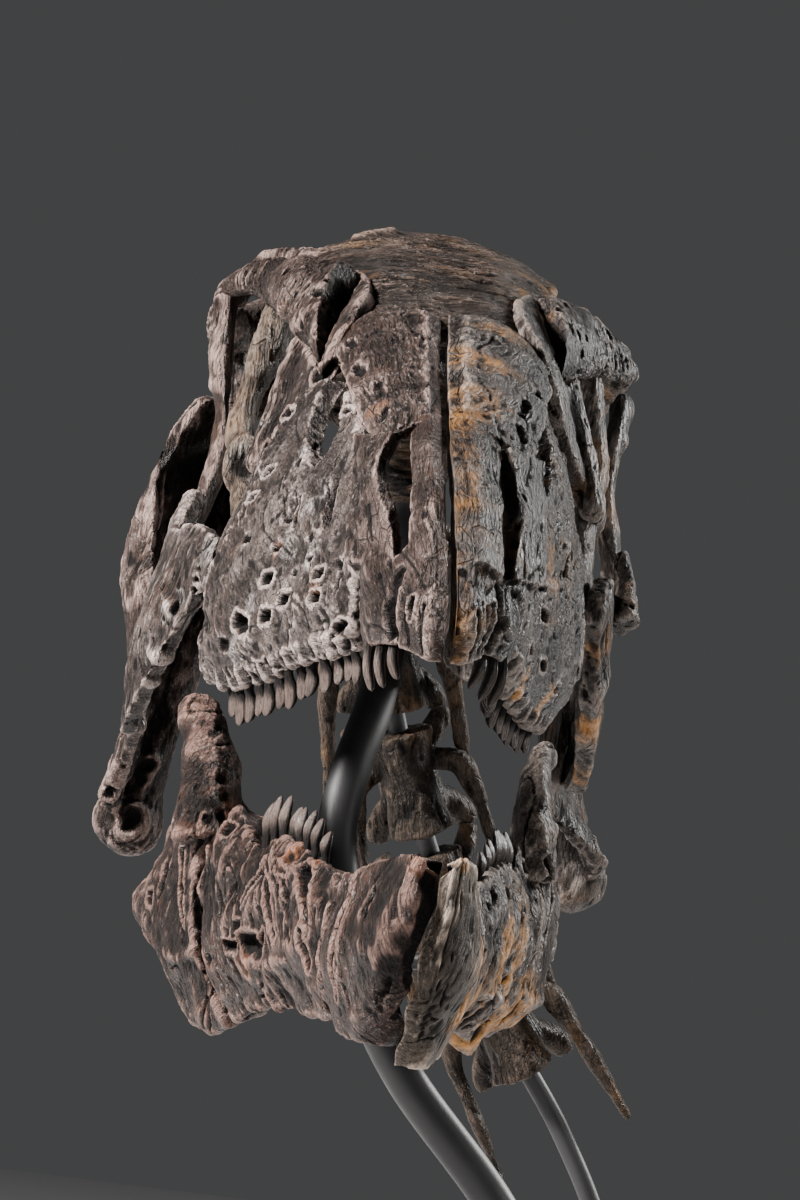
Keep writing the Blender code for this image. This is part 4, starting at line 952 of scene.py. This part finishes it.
# ---------------------------------------------------------------- nasals
# The long bones on top of the snout, one on each side of the open slit. Each has a smooth scoop above the nostril
# and rough lengthwise pits beside it; they are held between the beak bones and the roof.
nasal_plate = [
    [(0.5, 80, 80), (9, 80, 80.5), (17, 80, 78), (24, 84, 73)],
    [(0.5, 98, 89), (11, 98, 89), (20, 98, 86), (28, 98, 79)],
    [(0.5, 136, 107), (14, 136, 107), (25, 136, 103), (32, 134, 94)],
    [(0.5, 178, 126), (16, 178, 126), (28, 177, 121), (36, 174, 110)],
    [(0.5, 212, 138.5), (16, 212, 138), (28, 211, 133), (37, 208, 122.5)],
    [(0.5, 222, 140.5), (16, 222, 140), (27, 221, 135.5), (35, 218, 125)],
]
nasal_marks = [
    ([(18, 172, 124), (19, 150, 114), (19, 126, 103)], 6.0, -0.4),
    ([(6, 96, 88), (6, 150, 114), (7, 205, 138)], 3.4, 1.3),
    ([(24, 112, 93), (25, 124, 99)], 2.2, -2.4), ([(22, 100, 87), (23, 92, 82)], 1.8, -2.0),
    ([(29, 142, 103), (31, 152, 106)], 1.6, -2.2), ([(32, 176, 117), (33, 186, 120)], 1.5, -2.2),
    ([(13, 96, 89), (14, 108, 95)], 3.0, 0.8),
]
nasal_stains = {
    RIGHT: [((24, 104, 86), 5, 0.6)],
    LEFT: [((12, 150, 114), 16, 0.34), ((9, 110, 96), 14, 0.3), ((22, 196, 130), 14, 0.36)],
}
for word, side in SIDES.items():
    bone(f"nasal_{word}", [plate(nasal_plate, 6.0)], side, 6 + (side == LEFT), [FINISH[side]],
         (0.08, 0.88, 0.45), 0.8, openings=[spike(brow[side], SEAT_GAP)], marks=nasal_marks, middle_gap=SLIT_HALF,
         fibre=0.5, pitting=0.5, pit_size=3.8, stretch=6.0, strand=2.6, stains=nasal_stains[side])

# ---------------------------------------------------------------- maxillae
# The tooth-bearing walls of the upper jaw. Each is one rough plate with a large window and a small one into the
# hollow of the snout, a scatter of oval holes for vessels, and a jutting scalloped edge over thirteen leaf-shaped,
# ribbed teeth that are set in it.
MAXILLA_EDGE = [(24, 52, 4), (31, 74, 3), (40, 108, 1), (48, 142, -2), (56, 172, -3), (65, 204, 0)]
upper_wall = [
    [(26, 52, 14), (27, 56, 28), (28, 66, 42), (28, 78, 56)],
    [(35, 75, 15), (35, 78, 32), (33, 86, 50), (29, 96, 70)],
    [(45, 108, 14), (43, 110, 36), (38, 112, 58), (29, 116, 82)],
    [(54, 142, 13), (53, 142, 38), (46, 142, 64), (32, 144, 94)],
    [(63, 172, 12), (62, 172, 40), (53, 174, 72), (35, 178, 108)],
    [(70, 206, 14), (68, 207, 44), (60, 211, 72), (47, 204, 104)],
]


def teeth_in(edge, count, start, end, drop, width, depth, seed, growth=0.0, taper=2.3):
    """Crowns spaced evenly from start to end of a jaw's edge, each a little unlike the next in size and lean, and
    longer towards the back by the share growth."""
    line = smooth_through(edge, 24)
    place = np.linspace(start, end, count) * (len(line) - 1)
    roots = np.stack([np.interp(place, np.arange(len(line)), line[:, k]) for k in range(3)], axis=1)
    vary = np.random.default_rng(seed).uniform(-1, 1, (count, 3))
    made = []
    for number, (root, (a, b, c)) in enumerate(zip(roots, vary)):
        size = 1 + growth * (number / (count - 1) - 0.5)
        root = root + (-2.5 + 0.5 * c, 0.8 * a, 0)
        tip = root + np.array([-0.8 + 0.9 * a, 1.2 * b, drop * size * (1 + 0.14 * c)])
        made.append(crown(root, tip, width * size * (1 + 0.09 * b), depth, (0.35, 0.94, 0), 5, -0.9, taper=taper))
    return row_of(made)


def squeezed(places):
    """Points of the left upper jaw, which was crushed in behind the beak: x drops by up to 13.5 mm at the teeth and
    by up to 3 mm at the top, easing in over the 60 mm behind the beak."""
    x, y, z = np.asarray(places, float).T
    moved_in = np.interp(y, (45, 105), (0, 1)) * np.interp(z, (0, 44, 110), (13.5, 9.0, 3.0))
    return np.stack([x - moved_in, y, z], axis=1)


wall_marks = {
    RIGHT: [
        hole(50.8, 132.3, 30.9, 3.6, 1.8, -4.4), hole(36.7, 82.4, 29.4, 3.6, 1.5, -4.2),
        hole(36.4, 80.7, 21.8, 3.0, 1.5, -4.2), hole(45.1, 110.5, 22.6, 3.4, 1.8, -4.4),
        hole(48.9, 125.8, 18.2, 3.8, 2.0, -4.4),
        hole(56.8, 150.7, 17.1, 5.5, 2.4, -4.6, lean=0.2), hole(49.0, 132.0, 41.0, 2.6, 1.1, -2.7),
        hole(53.8, 176.3, 71.2, 4.0, 1.5, -3.6), hole(49.5, 203.1, 95.1, 4.0, 1.5, -3.6),
        hole(46.4, 130.4, 50.4, 2.6, 1.0, -2.6), hole(31.8, 136.9, 89.1, 3.5, 1.4, -3.6),
        hole(62.3, 170.8, 11.4, 4.0, 2.0, -2.7), hole(64.2, 197.3, 51.7, 3.0, 1.3, -2.7),
        hole(58.8, 165.1, 46.7, 3.6, 1.2, -2.7), hole(57.8, 179.7, 62.1, 4.0, 1.4, -3.0),
        hole(27.9, 59.0, 11.3, 3.0, 2.0, -3.4),
        ([(30.0, 65, 32), (30.8, 66, 27), (31.2, 66, 22)], 1.2, -2.6), ([(36.6, 112, 62), (37, 106, 56)], 1.1, -2.4),
        ([(43.4, 128, 57), (44, 123, 48)], 1.2, -2.4), hole(40.0, 96.0, 35.0, 2.4, 1.0, -2.6),
        hole(41.5, 100.0, 14.0, 2.6, 1.0, -2.6), hole(33.0, 72.0, 14.0, 2.2, 0.9, -2.4),
        hole(43.5, 108.0, 31.5, 2.0, 0.9, -2.4),
        ([(52, 150, 62), (48, 150, 74), (44, 156, 84)], 2.2, 1.8),
        ([(36, 140, 84), (42, 170, 99), (48, 196, 108)], 2.2, 1.6),
    ],
    LEFT: [
        hole(37.1, 123.5, 30.1, 3.5, 1.6, -3.8, 0.3), hole(40.3, 136.5, 15.3, 3.5, 1.6, -3.8, 0.3),
        hole(32.6, 106.4, 17.1, 2.6, 1.7, -3.8, 0.25), hole(48.7, 166.4, 11.0, 3.0, 1.4, -3.4, 0.3),
        hole(36.0, 118.0, 38.0, 3.0, 1.1, -2.6), ([(33, 100, 45), (37, 122, 60)], 1.8, -2.6),
        ([(44, 150, 40), (46, 158, 52), (46, 170, 66)], 2.0, -2.4),
        ([(30, 92, 34), (36, 118, 40), (42, 146, 42)], 1.8, 1.6),
    ],
}
wall_stains = {
    RIGHT: [((55, 145, 25), 7, -0.8), ((59, 160, 8), 6, -0.8), ((47, 120, 40), 9, -0.8), ((42, 115, 55), 8, -0.8),
            ((38, 98, 36), 7, -0.8), ((44, 150, 80), 7, -0.8), ((49, 131, 41), 4, 0.7), ((37, 82, 25), 4, 0.7)],
    LEFT: [((39, 132, 46), 9, 0.7), ((32, 95, 30), 7, 0.7), ((36, 118, 6), 6, 0.7), ((50, 168, 14), 7, -0.8),
           ((42, 140, 24), 6, -0.8), ((47, 160, 4), 7, 0.7)],
}
wall_bone = fossil_finish("pale_fossil", (0.235, 0.188, 0.170), (0.0264, 0.0191, 0.0166), (0.0041, 0.0029, 0.0025),
                          (0.10, 0.045, 0.022), 0.2, 0.9)
WALL_FINISH = {RIGHT: wall_bone, LEFT: left_bone}
UPPER_TEETH_DROP = {RIGHT: -9.6, LEFT: -7.6}
for word, side in SIDES.items():
    crushed = squeezed if side == LEFT else np.asarray
    inset = 4 if side == LEFT else 0
    edge = crushed(MAXILLA_EDGE).astype(float)
    wall = [np.vstack([low, crushed(rest)]) for low, rest in zip(edge, upper_wall)]
    shelf = crushed([(22, 60, 12), (30, 92, 12), (38, 130, 10), (46, 166, 9), (54, 196, 10)])
    along = smooth_through(edge, 5)
    scallops = [([p + (0.6, 0, 1.0), p + (1.3, 0, 5.5)], 2.1, 2.0) for p in along[2:23:2]]
    scallops += [([p + (0.8, 0, 2.0), p + (1.5, 0, 6.0)], 1.5, -2.2) for p in along[1:24:2]]
    scallops += [(edge + (0.8, 0, 6.5), 2.8, 1.6)]
    bone(f"maxilla_{word}", [
        plate(wall, 6.0), oval_bar(shelf, [(6, 5)] * 5),
    ], side, 8 + (side == LEFT), [WALL_FINISH[side], ENAMEL[side]], (0.3, 0.85, 0.45), 0.8,
        teeth_in(edge, 13, 0.06, 0.88, UPPER_TEETH_DROP[side], 7.5, 3.6, 30 + side, 0.15, 3.0),
        [egg((38.5 - inset, 160, 92), (11, 36, 9.5), along=(0, 0.8, 0.6)),
         egg((35 - 1.5 * inset, 98, 52), (7, 10, 4.5), along=(0, 0.6, 0.8))],
        marks=wall_marks[side] + scallops, stretch=2.4, fibre=0.5, pitting=1.0, pit_size=4.6, pit_share=0.3,
        warp=0.9, rugged=0.3, stains=wall_stains[side])

# ---------------------------------------------------------------- prefrontals
# The bones in front of the eye. Each ties the snout to the roof and carries the front rim of the eye socket, with
# a row of rough knobs along it.
prefrontal_plate = [
    [(57.5, 217, 82), (53, 208, 89), (48, 200, 97), (43, 192, 105)],
    [(53, 224, 100), (48, 215, 107), (43, 206, 113), (38, 198, 119)],
    [(48, 234, 122), (44, 227, 127), (38, 220, 131), (32, 212, 135)],
    [(39, 246, 141), (36, 242, 144), (32, 236, 145), (27, 228, 146)],
    [(38, 264, 158), (34, 260, 158), (30, 254, 157), (25, 246, 153)],
]
eye_rim = [(59, 215, 76), (53.5, 223, 98), (48.5, 233, 119), (41, 247, 138)]
for word, side in SIDES.items():
    knobs = [([tuple(p)], 2.6, 1.4) for p in smooth_through(eye_rim, 4)[::2]]
    if side == RIGHT:
        knobs += [([(46, 204, 116), (41, 195, 107), (36, 196, 114)], 2.0, -3.2),
                  hole(50.0, 206.0, 96.0, 3.0, 1.6, -3.2)]
    bone(f"prefrontal_{word}", [plate(prefrontal_plate, 6.0), oval_bar(eye_rim, [(4, 5)] * 4)], side,
         10 + (side == LEFT), [FINISH[side]], (-0.2, 0.4, 0.88), 0.9, openings=[spike(brow[side], SEAT_GAP)],
         marks=knobs, pitting=0.9, fibre=0.5)

# ---------------------------------------------------------------- postorbitals
# The thin bars behind the eye: one arches from the roof over the back of the socket and its pillar comes down to
# the cheek. They are smooth, with small knobs where muscles were tied.
arches = {
    RIGHT: [(42, 308, 166), (51, 326, 171), (60, 333, 168), (70, 328, 159), (75, 314, 150)],
    LEFT: [(44, 304, 160), (58, 316, 157), (69, 322, 151), (77, 326, 142), (78, 320, 130)],
}
for word, side in SIDES.items():
    pillar = [(75, 315, arches[side][-1][2]), (74, 306, 126), (71, 295, 103), (71, 287, 86), (75, 279, 66),
              (79, 274, 50)]
    bone(f"postorbital_{word}", [
        oval_bar(arches[side], [(5, 6), (5, 6), (5, 6), (5, 6), (5, 5)], wide=(0, 0, 1)),
        oval_bar(pillar, [(5, 7), (3.6, 6), (3.2, 6), (3.6, 6), (4, 7), (4, 8)]),
    ], side, 14 + (side == LEFT), [FINISH[side]], (0, 0.35, 0.94), 0.9, pitting=0.4, fibre=0.3, warp=0.7,
        marks=[([(62, 330, 172)], 4, 2.0), ([(50, 322, 176)], 3, -2.0), ([(76, 300, 116)], 3, 1.2)])

# ---------------------------------------------------------------- squamosals
# The bones at the upper back corners of the head. Each joins the bar behind the eye to the braincase and holds the
# head of the quadrate.
for word, side in SIDES.items():
    front = (71, 330, 156) if side == RIGHT else (74, 330, 143)
    bone(f"squamosal_{word}", [
        oval_bar([front, (74, 348, 154), (72, 372, 147), (68, 384, 138)], [(5, 6), (5, 7), (8, 9), (6, 7)]),
        oval_bar([(73, 372, 149), (58, 385, 158), (38, 385, 168), (24, 378, 175)], [(6, 8), (5, 8), (5, 8), (6, 8)],
                 wide=(0, 1, 0)),
    ], side, 16 + (side == LEFT), [FINISH[side]], (0.4, 0.9, 0), 1.1)

# ---------------------------------------------------------------- jugals
# The cheek plates. Each flares out behind the tooth row into a coarse pitted boss with a ragged lower edge, and a
# short riser meets the pillar behind the eye.
cheek_plate = [
    [(65, 207, 39), (66, 206, 44), (65, 207, 49)],
    [(71, 227, 31), (75, 226, 42), (73, 226, 56)],
    [(78, 246, 16), (82, 246, 33), (78, 250, 56)],
    [(85, 272, 0), (88, 272, 22), (82, 274, 56)],
    [(89, 302, -13), (90, 298, 8), (86, 298, 34)],
    [(86, 324, -9), (89, 322, 6), (86, 322, 22)],
]
small_holes = {RIGHT: [(73, 221.6, 33), (72.7, 218.3, 36.6), (72.2, 215.5, 40)], LEFT: []}
cheek_stains = {
    RIGHT: [((82, 241, 27), 5, -0.8), ((78, 232, 30), 4, -0.8), ((74, 238, 24), 4, -0.8), ((69, 209, 45), 6, -0.8),
            ((84, 256, 40), 7, -0.8)],
    LEFT: [((66, 226, 30), 6, 0.6), ((70, 262, 10), 9, 0.7), ((72, 290, -6), 8, 0.7)],
}
for word, side in SIDES.items():
    spread = 1.0 if side == RIGHT else 0.5
    lumps = np.random.default_rng(70 + side).uniform(-1, 1, (16, 2))
    boss = [([(60 + spread * (22 + 2 * a), 254 + 16 * a, 16 + 14 * b - 9 * a)], 3.4, 1.7) for a, b in lumps]
    small = [hole(x, y, z, 1.3, 0.9, -2.4, 0.3) for x, y, z in small_holes[side]]
    bone(f"jugal_{word}", [
        plate([[(60 + (x - 60) * spread, y, z) for x, y, z in row] for row in cheek_plate], 6.5, inward=0.0),
        oval_bar([(81, 272, 46), (80, 275, 60), (77, 278, 72)], [(5, 13), (4, 9), (3, 6)]),
    ], side, 18 + (side == LEFT), [WALL_FINISH[side]], (0.1, 0.55, -0.8), 0.8, marks=boss + small, pitting=1.3,
        pit_size=4.4, pit_share=0.5, fibre=0.4, rugged=0.25, stains=cheek_stains[side])

# ---------------------------------------------------------------- quadrates
# The struts that carry the jaw joint. Each has a shaft with a rounded end below, an outer sheet bowed round the
# gap behind the cheek, and a wing that reaches in to the palate.
rear_sheet = [
    [(86, 314, -10), (89, 314, 6), (89, 318, 22), (87, 330, 34)],
    [(89, 344, -20), (88, 345, 8), (97, 348, 52), (90, 344, 92)],
    [(94, 366, -36), (87, 364, 6), (91, 361, 54), (77, 348, 119)],
    [(88, 384, -42), (78, 382, 6), (72, 380, 58), (66, 376, 112)],
]
shaft_marks = [([(93, 352, -8), (90, 356, 16)], 3.5, -2.6), ([(92, 348, 34)], 3.0, -2.4),
               ([(96, 372, -30), (98, 376, -44)], 3, -1.6)]
joint_marks = {
    RIGHT: [([(80, 372, -20), (84, 371, -30)], 3.4, -3.6), ([(84, 372, -41)], 4.2, -4.2),
            ([(93, 361, -32), (94, 361, -24)], 3.0, -3.4)],
    LEFT: [([(92, 366, -30)], 3.0, -3.0)],
}
for word, side in SIDES.items():
    hollow_share = 1.0 if side == RIGHT else 0.77
    outer = [[(x * hollow_share if z > -30 else x, y, z) for x, y, z in row] for row in rear_sheet[:3]]
    outer += rear_sheet[3:]
    bone(f"quadrate_{word}", [
        oval_bar([(68, 376, 142), (64, 378, 112), (66, 380, 66), (72, 382, 20), (80, 384, -18), (84, 386, -38)],
                 [(7, 8), (6, 7), (6, 7), (7, 8), (8, 9), (11, 10)]),
        egg((85, 386, -41), (13.5, 12, 13)),
        plate(outer, 5.5, inward=0.0),
        plate([[(64, 376, 32), (62, 377, 70), (64, 376, 110)], [(52, 360, 42), (50, 362, 70), (52, 362, 102)],
               [(38, 342, 50), (36, 344, 68), (38, 344, 86)]], 5.0, inward=0.0),
    ], side, 20 + (side == LEFT), [FINISH[side]], (0, 0.15, 1), 1.0, pitting=0.8, warp=1.0,
        marks=shaft_marks + joint_marks[side])

# ---------------------------------------------------------------- palate
# The plates of the roof of the mouth, seen through the eye socket and the jaws, with the knobbed strut that
# stands up to the roof and ends in a round disc inside the socket.
for word, side in SIDES.items():
    bone(f"palate_{word}", [
        plate([[(20, 346, 42), (18, 346, 58), (20, 346, 74)], [(26, 290, 22), (24, 290, 40), (28, 290, 58)],
               [(34, 236, 18), (32, 236, 32), (38, 236, 46)], [(46, 205, 16), (45, 205, 26), (54, 206, 36)]],
              5.0, inward=0.0),
        oval_bar([(54, 290, 150), (57, 279, 130), (62, 275, 110), (64, 272, 98), (61, 263, 84)],
                 [(5, 6), (6.5, 7), (4.5, 6), (4.5, 6), (6, 6)]),
        egg((60.5, 261, 83), (8.5, 5.5, 11.5)),
        oval_bar([(61, 262, 80), (60, 248, 64), (58, 230, 48), (50, 214, 32)], [(5, 5), (4, 5), (4, 5), (5, 5)]),
    ], side, 22 + (side == LEFT), [tan_bone if side == RIGHT else left_bone], (0, 0.3, 0.95), 1.0, pitting=0.6,
        marks=[([(60, 268, 137)], 3, 1.8), ([(64, 270, 121)], 3, 1.4), ([(61, 257, 84)], 5, -1.2)],
        stains=[((60, 258, 84), 9, -0.6)])

# ---------------------------------------------------------------- predentaries
# The two halves of the bone that tips the lower jaw. Each is a thick scoop, folded from top to bottom where the horny
# beak was tied on, and the halves meet at a cleft painted black as shade.
scoop = [
    [(0.5, 40, -112), (0.5, 20, -100), (0.5, 10, -80), (0.5, 10, -62)],
    [(5, 37, -112), (6, 15, -98), (7, 8, -78), (7, 12, -56)],
    [(10, 42, -111), (13, 25, -98), (15, 20, -80), (13, 28, -58)],
    [(13, 58, -110), (18, 47, -97), (20, 42, -82), (17, 46, -62)],
    [(15, 76, -108), (20, 74, -95), (22, 72, -80), (19, 66, -62)],
]
CHIN_SHARE = (1.0, 1.0, 1.0, 1.0, 0.5)
HALF_WIDTH, CHIN_DEPTH = {RIGHT: 1.0, LEFT: 1.22}, {RIGHT: 1.0, LEFT: 6.0}
folds = {
    RIGHT: [([(1.5, 10, -58), (1.5, 9, -76), (1.5, 14, -90), (1.5, 24, -104)], 2.6, -2.7),
            ([(9, 9, -60), (10, 9, -76), (10, 14, -90)], 4.6, 1.6),
            ([(14.5, 24, -66), (15, 23, -78), (12, 20, -90)], 1.3, -2.2),
            ([(18, 42, -62), (19.5, 42, -80), (18, 46, -100)], 3.0, -4.0),
            ([(17, 34, -60), (18.5, 33, -76), (17, 36, -94)], 2.4, 1.4),
            ([(8, 12, -94), (9, 20, -103)], 1.2, -1.8), ([(16, 36, -90), (14, 36, -106)], 1.4, -2.0)],
    LEFT: [([(4, 9, -60), (4, 9, -80), (4, 18, -98)], 3.0, 1.2),
           ([(9, 10, -62), (11, 12, -84), (12, 22, -104)], 0.8, -1.1),
           ([(12, 16, -62), (15, 20, -84), (16, 34, -104)], 0.8, -1.1),
           ([(17, 28, -62), (21, 38, -84), (21, 50, -102)], 1.8, -2.6), ([(7, 9, -70), (9, 14, -98)], 0.7, -0.9)],
}
scoop_stains = {RIGHT: [((5, 12, -58), 5, 0.7)],
                LEFT: [((22, 40, -84), 8, 0.6), ((20, 46, -100), 8, 0.7), ((8, 14, -57), 4, 0.5)]}
# The right jaw's umber finish is darker than the bones above it: partly its own umber tone and partly painted shade
# over the lower jaw.
shaded_jaw_bone = fossil_finish("umber_shaded_fossil", (0.118, 0.073, 0.060), (0.0100, 0.0056, 0.0043), (0.0022, 0.0013, 0.0010),
                         (0.10, 0.038, 0.017), 0.3, 0.6)
# The left half's ash finish is a paler copy of the left side's: painted light that brightens the half lying in shade
# behind the right half.
lit_chin_bone = fossil_finish("lit_ash_fossil", (0.300, 0.240, 0.195), (0.0700, 0.0550, 0.0430), (0.0080, 0.0060, 0.0048),
                          (0.34, 0.16, 0.045), 0.3, 0.6)
JAW_FINISH, CHIN_FINISH = {RIGHT: shaded_jaw_bone, LEFT: left_bone}, {RIGHT: shaded_jaw_bone, LEFT: lit_chin_bone}
for word, side in SIDES.items():
    rows = [[(2 + (x - 2) * HALF_WIDTH[side], y, z - (CHIN_DEPTH[side] * share if n == 0 else 0))
             for n, (x, y, z) in enumerate(row)] for row, share in zip(scoop, CHIN_SHARE)]
    bone(f"predentary_{word}", [plate(rows, 9.0)], side, 24 + (side == LEFT), [CHIN_FINISH[side]],
         (0.15, 0.25, 0.95), 0.75, marks=folds[side], middle_gap=0.12, stretch=6.0, fibre=0.4, pitting=0.5, warp=1.2,
         rugged=0.25, stains=scoop_stains[side])

# ---------------------------------------------------------------- dentaries
# The tooth-bearing bones of the lower jaw: a deep, furrowed wall with large holes for nerves, a rough reddish tooth
# border, and eight overlapping leaf-shaped teeth a side that are set in it.
DENTARY_EDGE = [(17, 60, -65), (24, 97, -58), (30, 127, -53), (36, 155, -50), (43, 188, -51)]
lower_wall = [
    [(13, 66, -108), (19, 64, -95), (21, 62, -78)], [(17, 97, -106), (26, 97, -92), (29, 97, -70)],
    [(22, 127, -105), (32, 127, -90), (35, 127, -68)], [(29, 155, -105), (39, 155, -88), (42, 155, -66)],
    [(35, 192, -106), (46, 192, -86), (49, 192, -64)],
]
jaw_end = [(41, 228, -112), (55, 230, -88), (58, 230, -60), (48, 224, -38)]


def widened(x, y, width):
    """x moved out by the width's share at the front of the jaw, easing to nothing where the tooth row ends."""
    return x * (1 + (width - 1) * max(0.0, 1 - y / 240))


furrows = [
    hole(40.0, 160.0, -86.0, 11.0, 3.4, -5.4, 0.2), hole(45.0, 190.0, -86.0, 8.0, 1.8, -4.0, 0.2),
    ([(36, 140, -82), (38, 146, -90)], 2.0, -3.6), hole(33.5, 122.0, -90.0, 6.0, 1.4, -3.2, 0.2),
    ([(47, 206, -70), (46, 200, -80)], 1.8, -3.0), hole(42.8, 176.0, -79.0, 6.0, 2.0, -4.6, 0.2),
    ([(38, 142, -66), (36, 134, -72), (34.5, 126, -82)], 3.2, -5.4),
    ([(29, 108, -60), (27, 94, -68), (25, 84, -80)], 3.4, -5.5),
    ([(34, 118, -62), (37, 134, -60)], 1.8, -3.0), ([(40, 150, -62), (42, 164, -70), (42, 172, -74)], 2.0, -3.2),
    ([(26, 92, -82), (25, 84, -90)], 2.4, -3.4), hole(50.2, 219.0, -47.2, 4.0, 2.0, -3.2, 0.2),
    ([(52, 214, -62), (50, 204, -72), (46, 190, -84)], 2.2, -2.6),
    ([(39, 150, -74), (43, 176, -72), (49, 206, -74)], 1.8, -2.0),
    ([(19, 66, -62), (20, 66, -76), (19.5, 68, -94)], 3.0, 2.2),
    ([(28, 110, -64), (34, 128, -60), (41, 160, -58)], 2.8, 1.4),
    ([(24, 80, -100), (33, 120, -99), (42, 165, -99), (50, 210, -101)], 3.4, 1.8),
    ([(31, 112, -90), (36, 138, -92), (41, 160, -94)], 3.0, 2.2), ([(48, 196, -94), (53, 220, -92)], 2.4, -2.4),
    ([(24.5, 70, -64), (23.5, 66, -80), (22, 66, -96)], 1.6, -3.0), ([(33, 118, -66), (31, 112, -76)], 1.6, -2.6),
    ([(44, 180, -58), (47, 190, -66), (48, 196, -76)], 1.8, -2.4), ([(38, 146, -92), (44, 176, -94)], 2.2, 2.2),
]
jaw_stains = {
    RIGHT: [((30, 128, -56), 8, 0.6), ((24, 100, -60), 7, 0.6), ((42, 170, -92), 8, 0.5)],
    LEFT: [((40, 128, -82), 15, 1.0), ((46, 176, -90), 22, 1.0), ((48, 214, -104), 16, 1.0),
           ((28, 96, -98), 12, 0.9)],
}
for word, side in SIDES.items():
    width = HALF_WIDTH[side]
    edge = [(widened(x, y, width), y, z) for x, y, z in DENTARY_EDGE]
    rows = [row + [top] for row, top in zip(lower_wall, DENTARY_EDGE)] + [jaw_end]
    bone(f"dentary_{word}", [plate([[(widened(x, y, width), y, z) for x, y, z in row] for row in rows], 11.0)], side,
         26 + (side == LEFT), [JAW_FINISH[side], ENAMEL[side]], (0.2, 0.35, 0.9), 0.8,
         teeth_in(edge, 8, 0.30, 0.94, 11.5, 7.2, 3.4, 40 + side, 0.35, 1.5), marks=furrows, fibre=0.3, pitting=1.3,
         pit_size=6.0, pit_share=0.35, warp=1.7, cracks=1.0, rugged=0.8, stretch=3.0, stains=jaw_stains[side])

# ---------------------------------------------------------------- rear jaws
# The surangular, angular and articular of each side, grown together: a thick deep plate with the coronoid process
# in front, where the jaw muscles pulled, and the cup of the jaw joint behind.
hollows = [
    ([(59, 227, -43), (60, 228, -50)], 1.5, -3.2), ([(63, 244, -30), (64.4, 252, -54), (61, 242, -80)], 2.4, -3.2),
    ([(56, 232, -40), (60, 240, -60), (61, 246, -80)], 1.9, -2.4),
    ([(67, 256, -28), (69, 272, -50), (71, 290, -70)], 2.4, -2.2),
    hole(73.5, 305.4, -70.8, 6.0, 2.2, slope=0.1), hole(62, 240, -20, 2.0, 1.5, -3.0),
    ([(54, 240, -104), (62, 262, -102), (66, 288, -98)], 2.4, -1.8),
    ([(60, 236, -30), (66, 252, -40), (69, 268, -60)], 2.6, 1.4),
    ([(72, 300, -62), (75, 325, -66), (76, 350, -68)], 3.0, 1.3),
    ([(56, 232, -88), (62, 252, -92), (67, 276, -90)], 3.0, 1.8),
]
corner_stains = {RIGHT: [((50, 226, -36), 6, 0.6)], LEFT: [((52, 238, -99), 18, 1.0), ((58, 262, -96), 10, 0.9)]}
for word, side in SIDES.items():
    sag, lean, stout = (14.0, 0.0, 1.0) if side == RIGHT else (4.0, 11.0, 0.62)
    jaw_plate = [
        [(42, 234, -100 - sag), (57, 234, -88), (60, 234, -60), (50, 230, -38)],
        [(48, 262, -102 - sag), (64, 262, -90), (67, 260, -60), (62, 256, -30)],
        [(54, 290, -98 - sag), (68, 290, -88), (71, 288, -66), (68, 284, -44)],
        [(60, 318, -93 - 0.5 * sag), (72, 320, -84), (75, 318, -70), (73, 316, -57)],
        [(64, 348, -90), (74, 350, -80), (76, 350, -70), (74, 350, -61)],
        [(68, 384, -84), (76, 386, -78), (79, 386, -70), (76, 388, -64)],
    ]
    bone(f"rear_jaw_{word}", [
        plate(jaw_plate, 11.0),
        oval_bar([(57, 238, -50), (60 - 0.6 * lean, 240, -26), (65 - lean, 246, -10), (69 - lean, 252, -4)],
                 [(12.5 * stout, 14), (10 * stout, 12), (7.5 * stout, 9), (5 * stout, 5)]),
        egg((65 - lean, 249, -8), (7 * stout, 7, 6)),
        egg((69, 385, -72), (11, 14, 9)),
    ], side, 28 + (side == LEFT), [JAW_FINISH[side]], (0.15, 0.6, -0.75), 0.95, marks=hollows, fibre=0.35,
        pitting=1.1, warp=1.3, cracks=0.8, stains=corner_stains[side])

# ---------------------------------------------------------------- neck
# The first five neck bones, threaded one under the other on the rod, each with its arch, spine, joint knobs and a
# pair of ribs swept down and back. They are darker and browner than the skull.
neck_bone = fossil_finish("neck_fossil", (0.036, 0.026, 0.0195), (0.0125, 0.0088, 0.0064), (0.0030, 0.0022, 0.0017),
                          (0.15, 0.075, 0.026), 0.6, 0.25)
for number in range(5):
    here = Vector(neck_line[number])
    down = (Vector(neck_line[min(number + 1, 5)]) - Vector(neck_line[max(number - 1, 0)])).normalized()
    aside = (Vector((1, 0, 0)) - down * down.x).normalized()
    back = down.cross(aside)
    back = back if back.y > 0 else -back
    length = 19.0 + 0.8 * number

    def at(out, behind, below):
        return tuple(here + aside * out + back * behind + down * below)

    wide = tuple(aside)
    blanks = [
        oval_bar([at(0, 0, -length), at(0, -1, 0), at(0, 0, length)], [(14, 12), (9.5, 9), (14, 12)], wide),
        oval_bar([at(0, 16, -length * 0.7), at(0, 17, length * 0.8)], [(12, 8), (13, 8)], wide),
        oval_bar([at(0, 20, 2), at(0, 33, 6), at(0, 40, 9)], [(3.5, 12), (3, 10), (3, 7)], wide),
    ]
    for out in SIDES.values():
        knob = [at(out * 9, 16, -length * 0.5), at(out * 17, 18, -length * 0.9), at(out * 19, 19, -length - 3)]
        lower = [at(out * 9, 18, length * 0.5), at(out * 17, 22, length), at(out * 18, 23, length + 6)]
        rib = [at(out * reach, behind, below)
               for reach, behind, below in ((8, 4, -8), (21, 2, -3), (25, 2, 12), (27, 6, 38), (29, 12, 62))]
        blanks += [
            oval_bar(knob, [(5, 5), (5, 4), (4, 3)], wide), oval_bar(lower, [(5, 5), (5, 4), (4, 3)], wide),
            oval_bar(rib, [(4.5, 4.5), (4.5, 4), (4, 3), (3, 2.6), (2, 2)], wide),
        ]
    bone(f"neck_vertebra_{number + 1}", blanks, LEFT, 40 + number, [neck_bone], tuple(down), 1.1, warp=0.8,
         pitting=0.7, fibre=0.35)
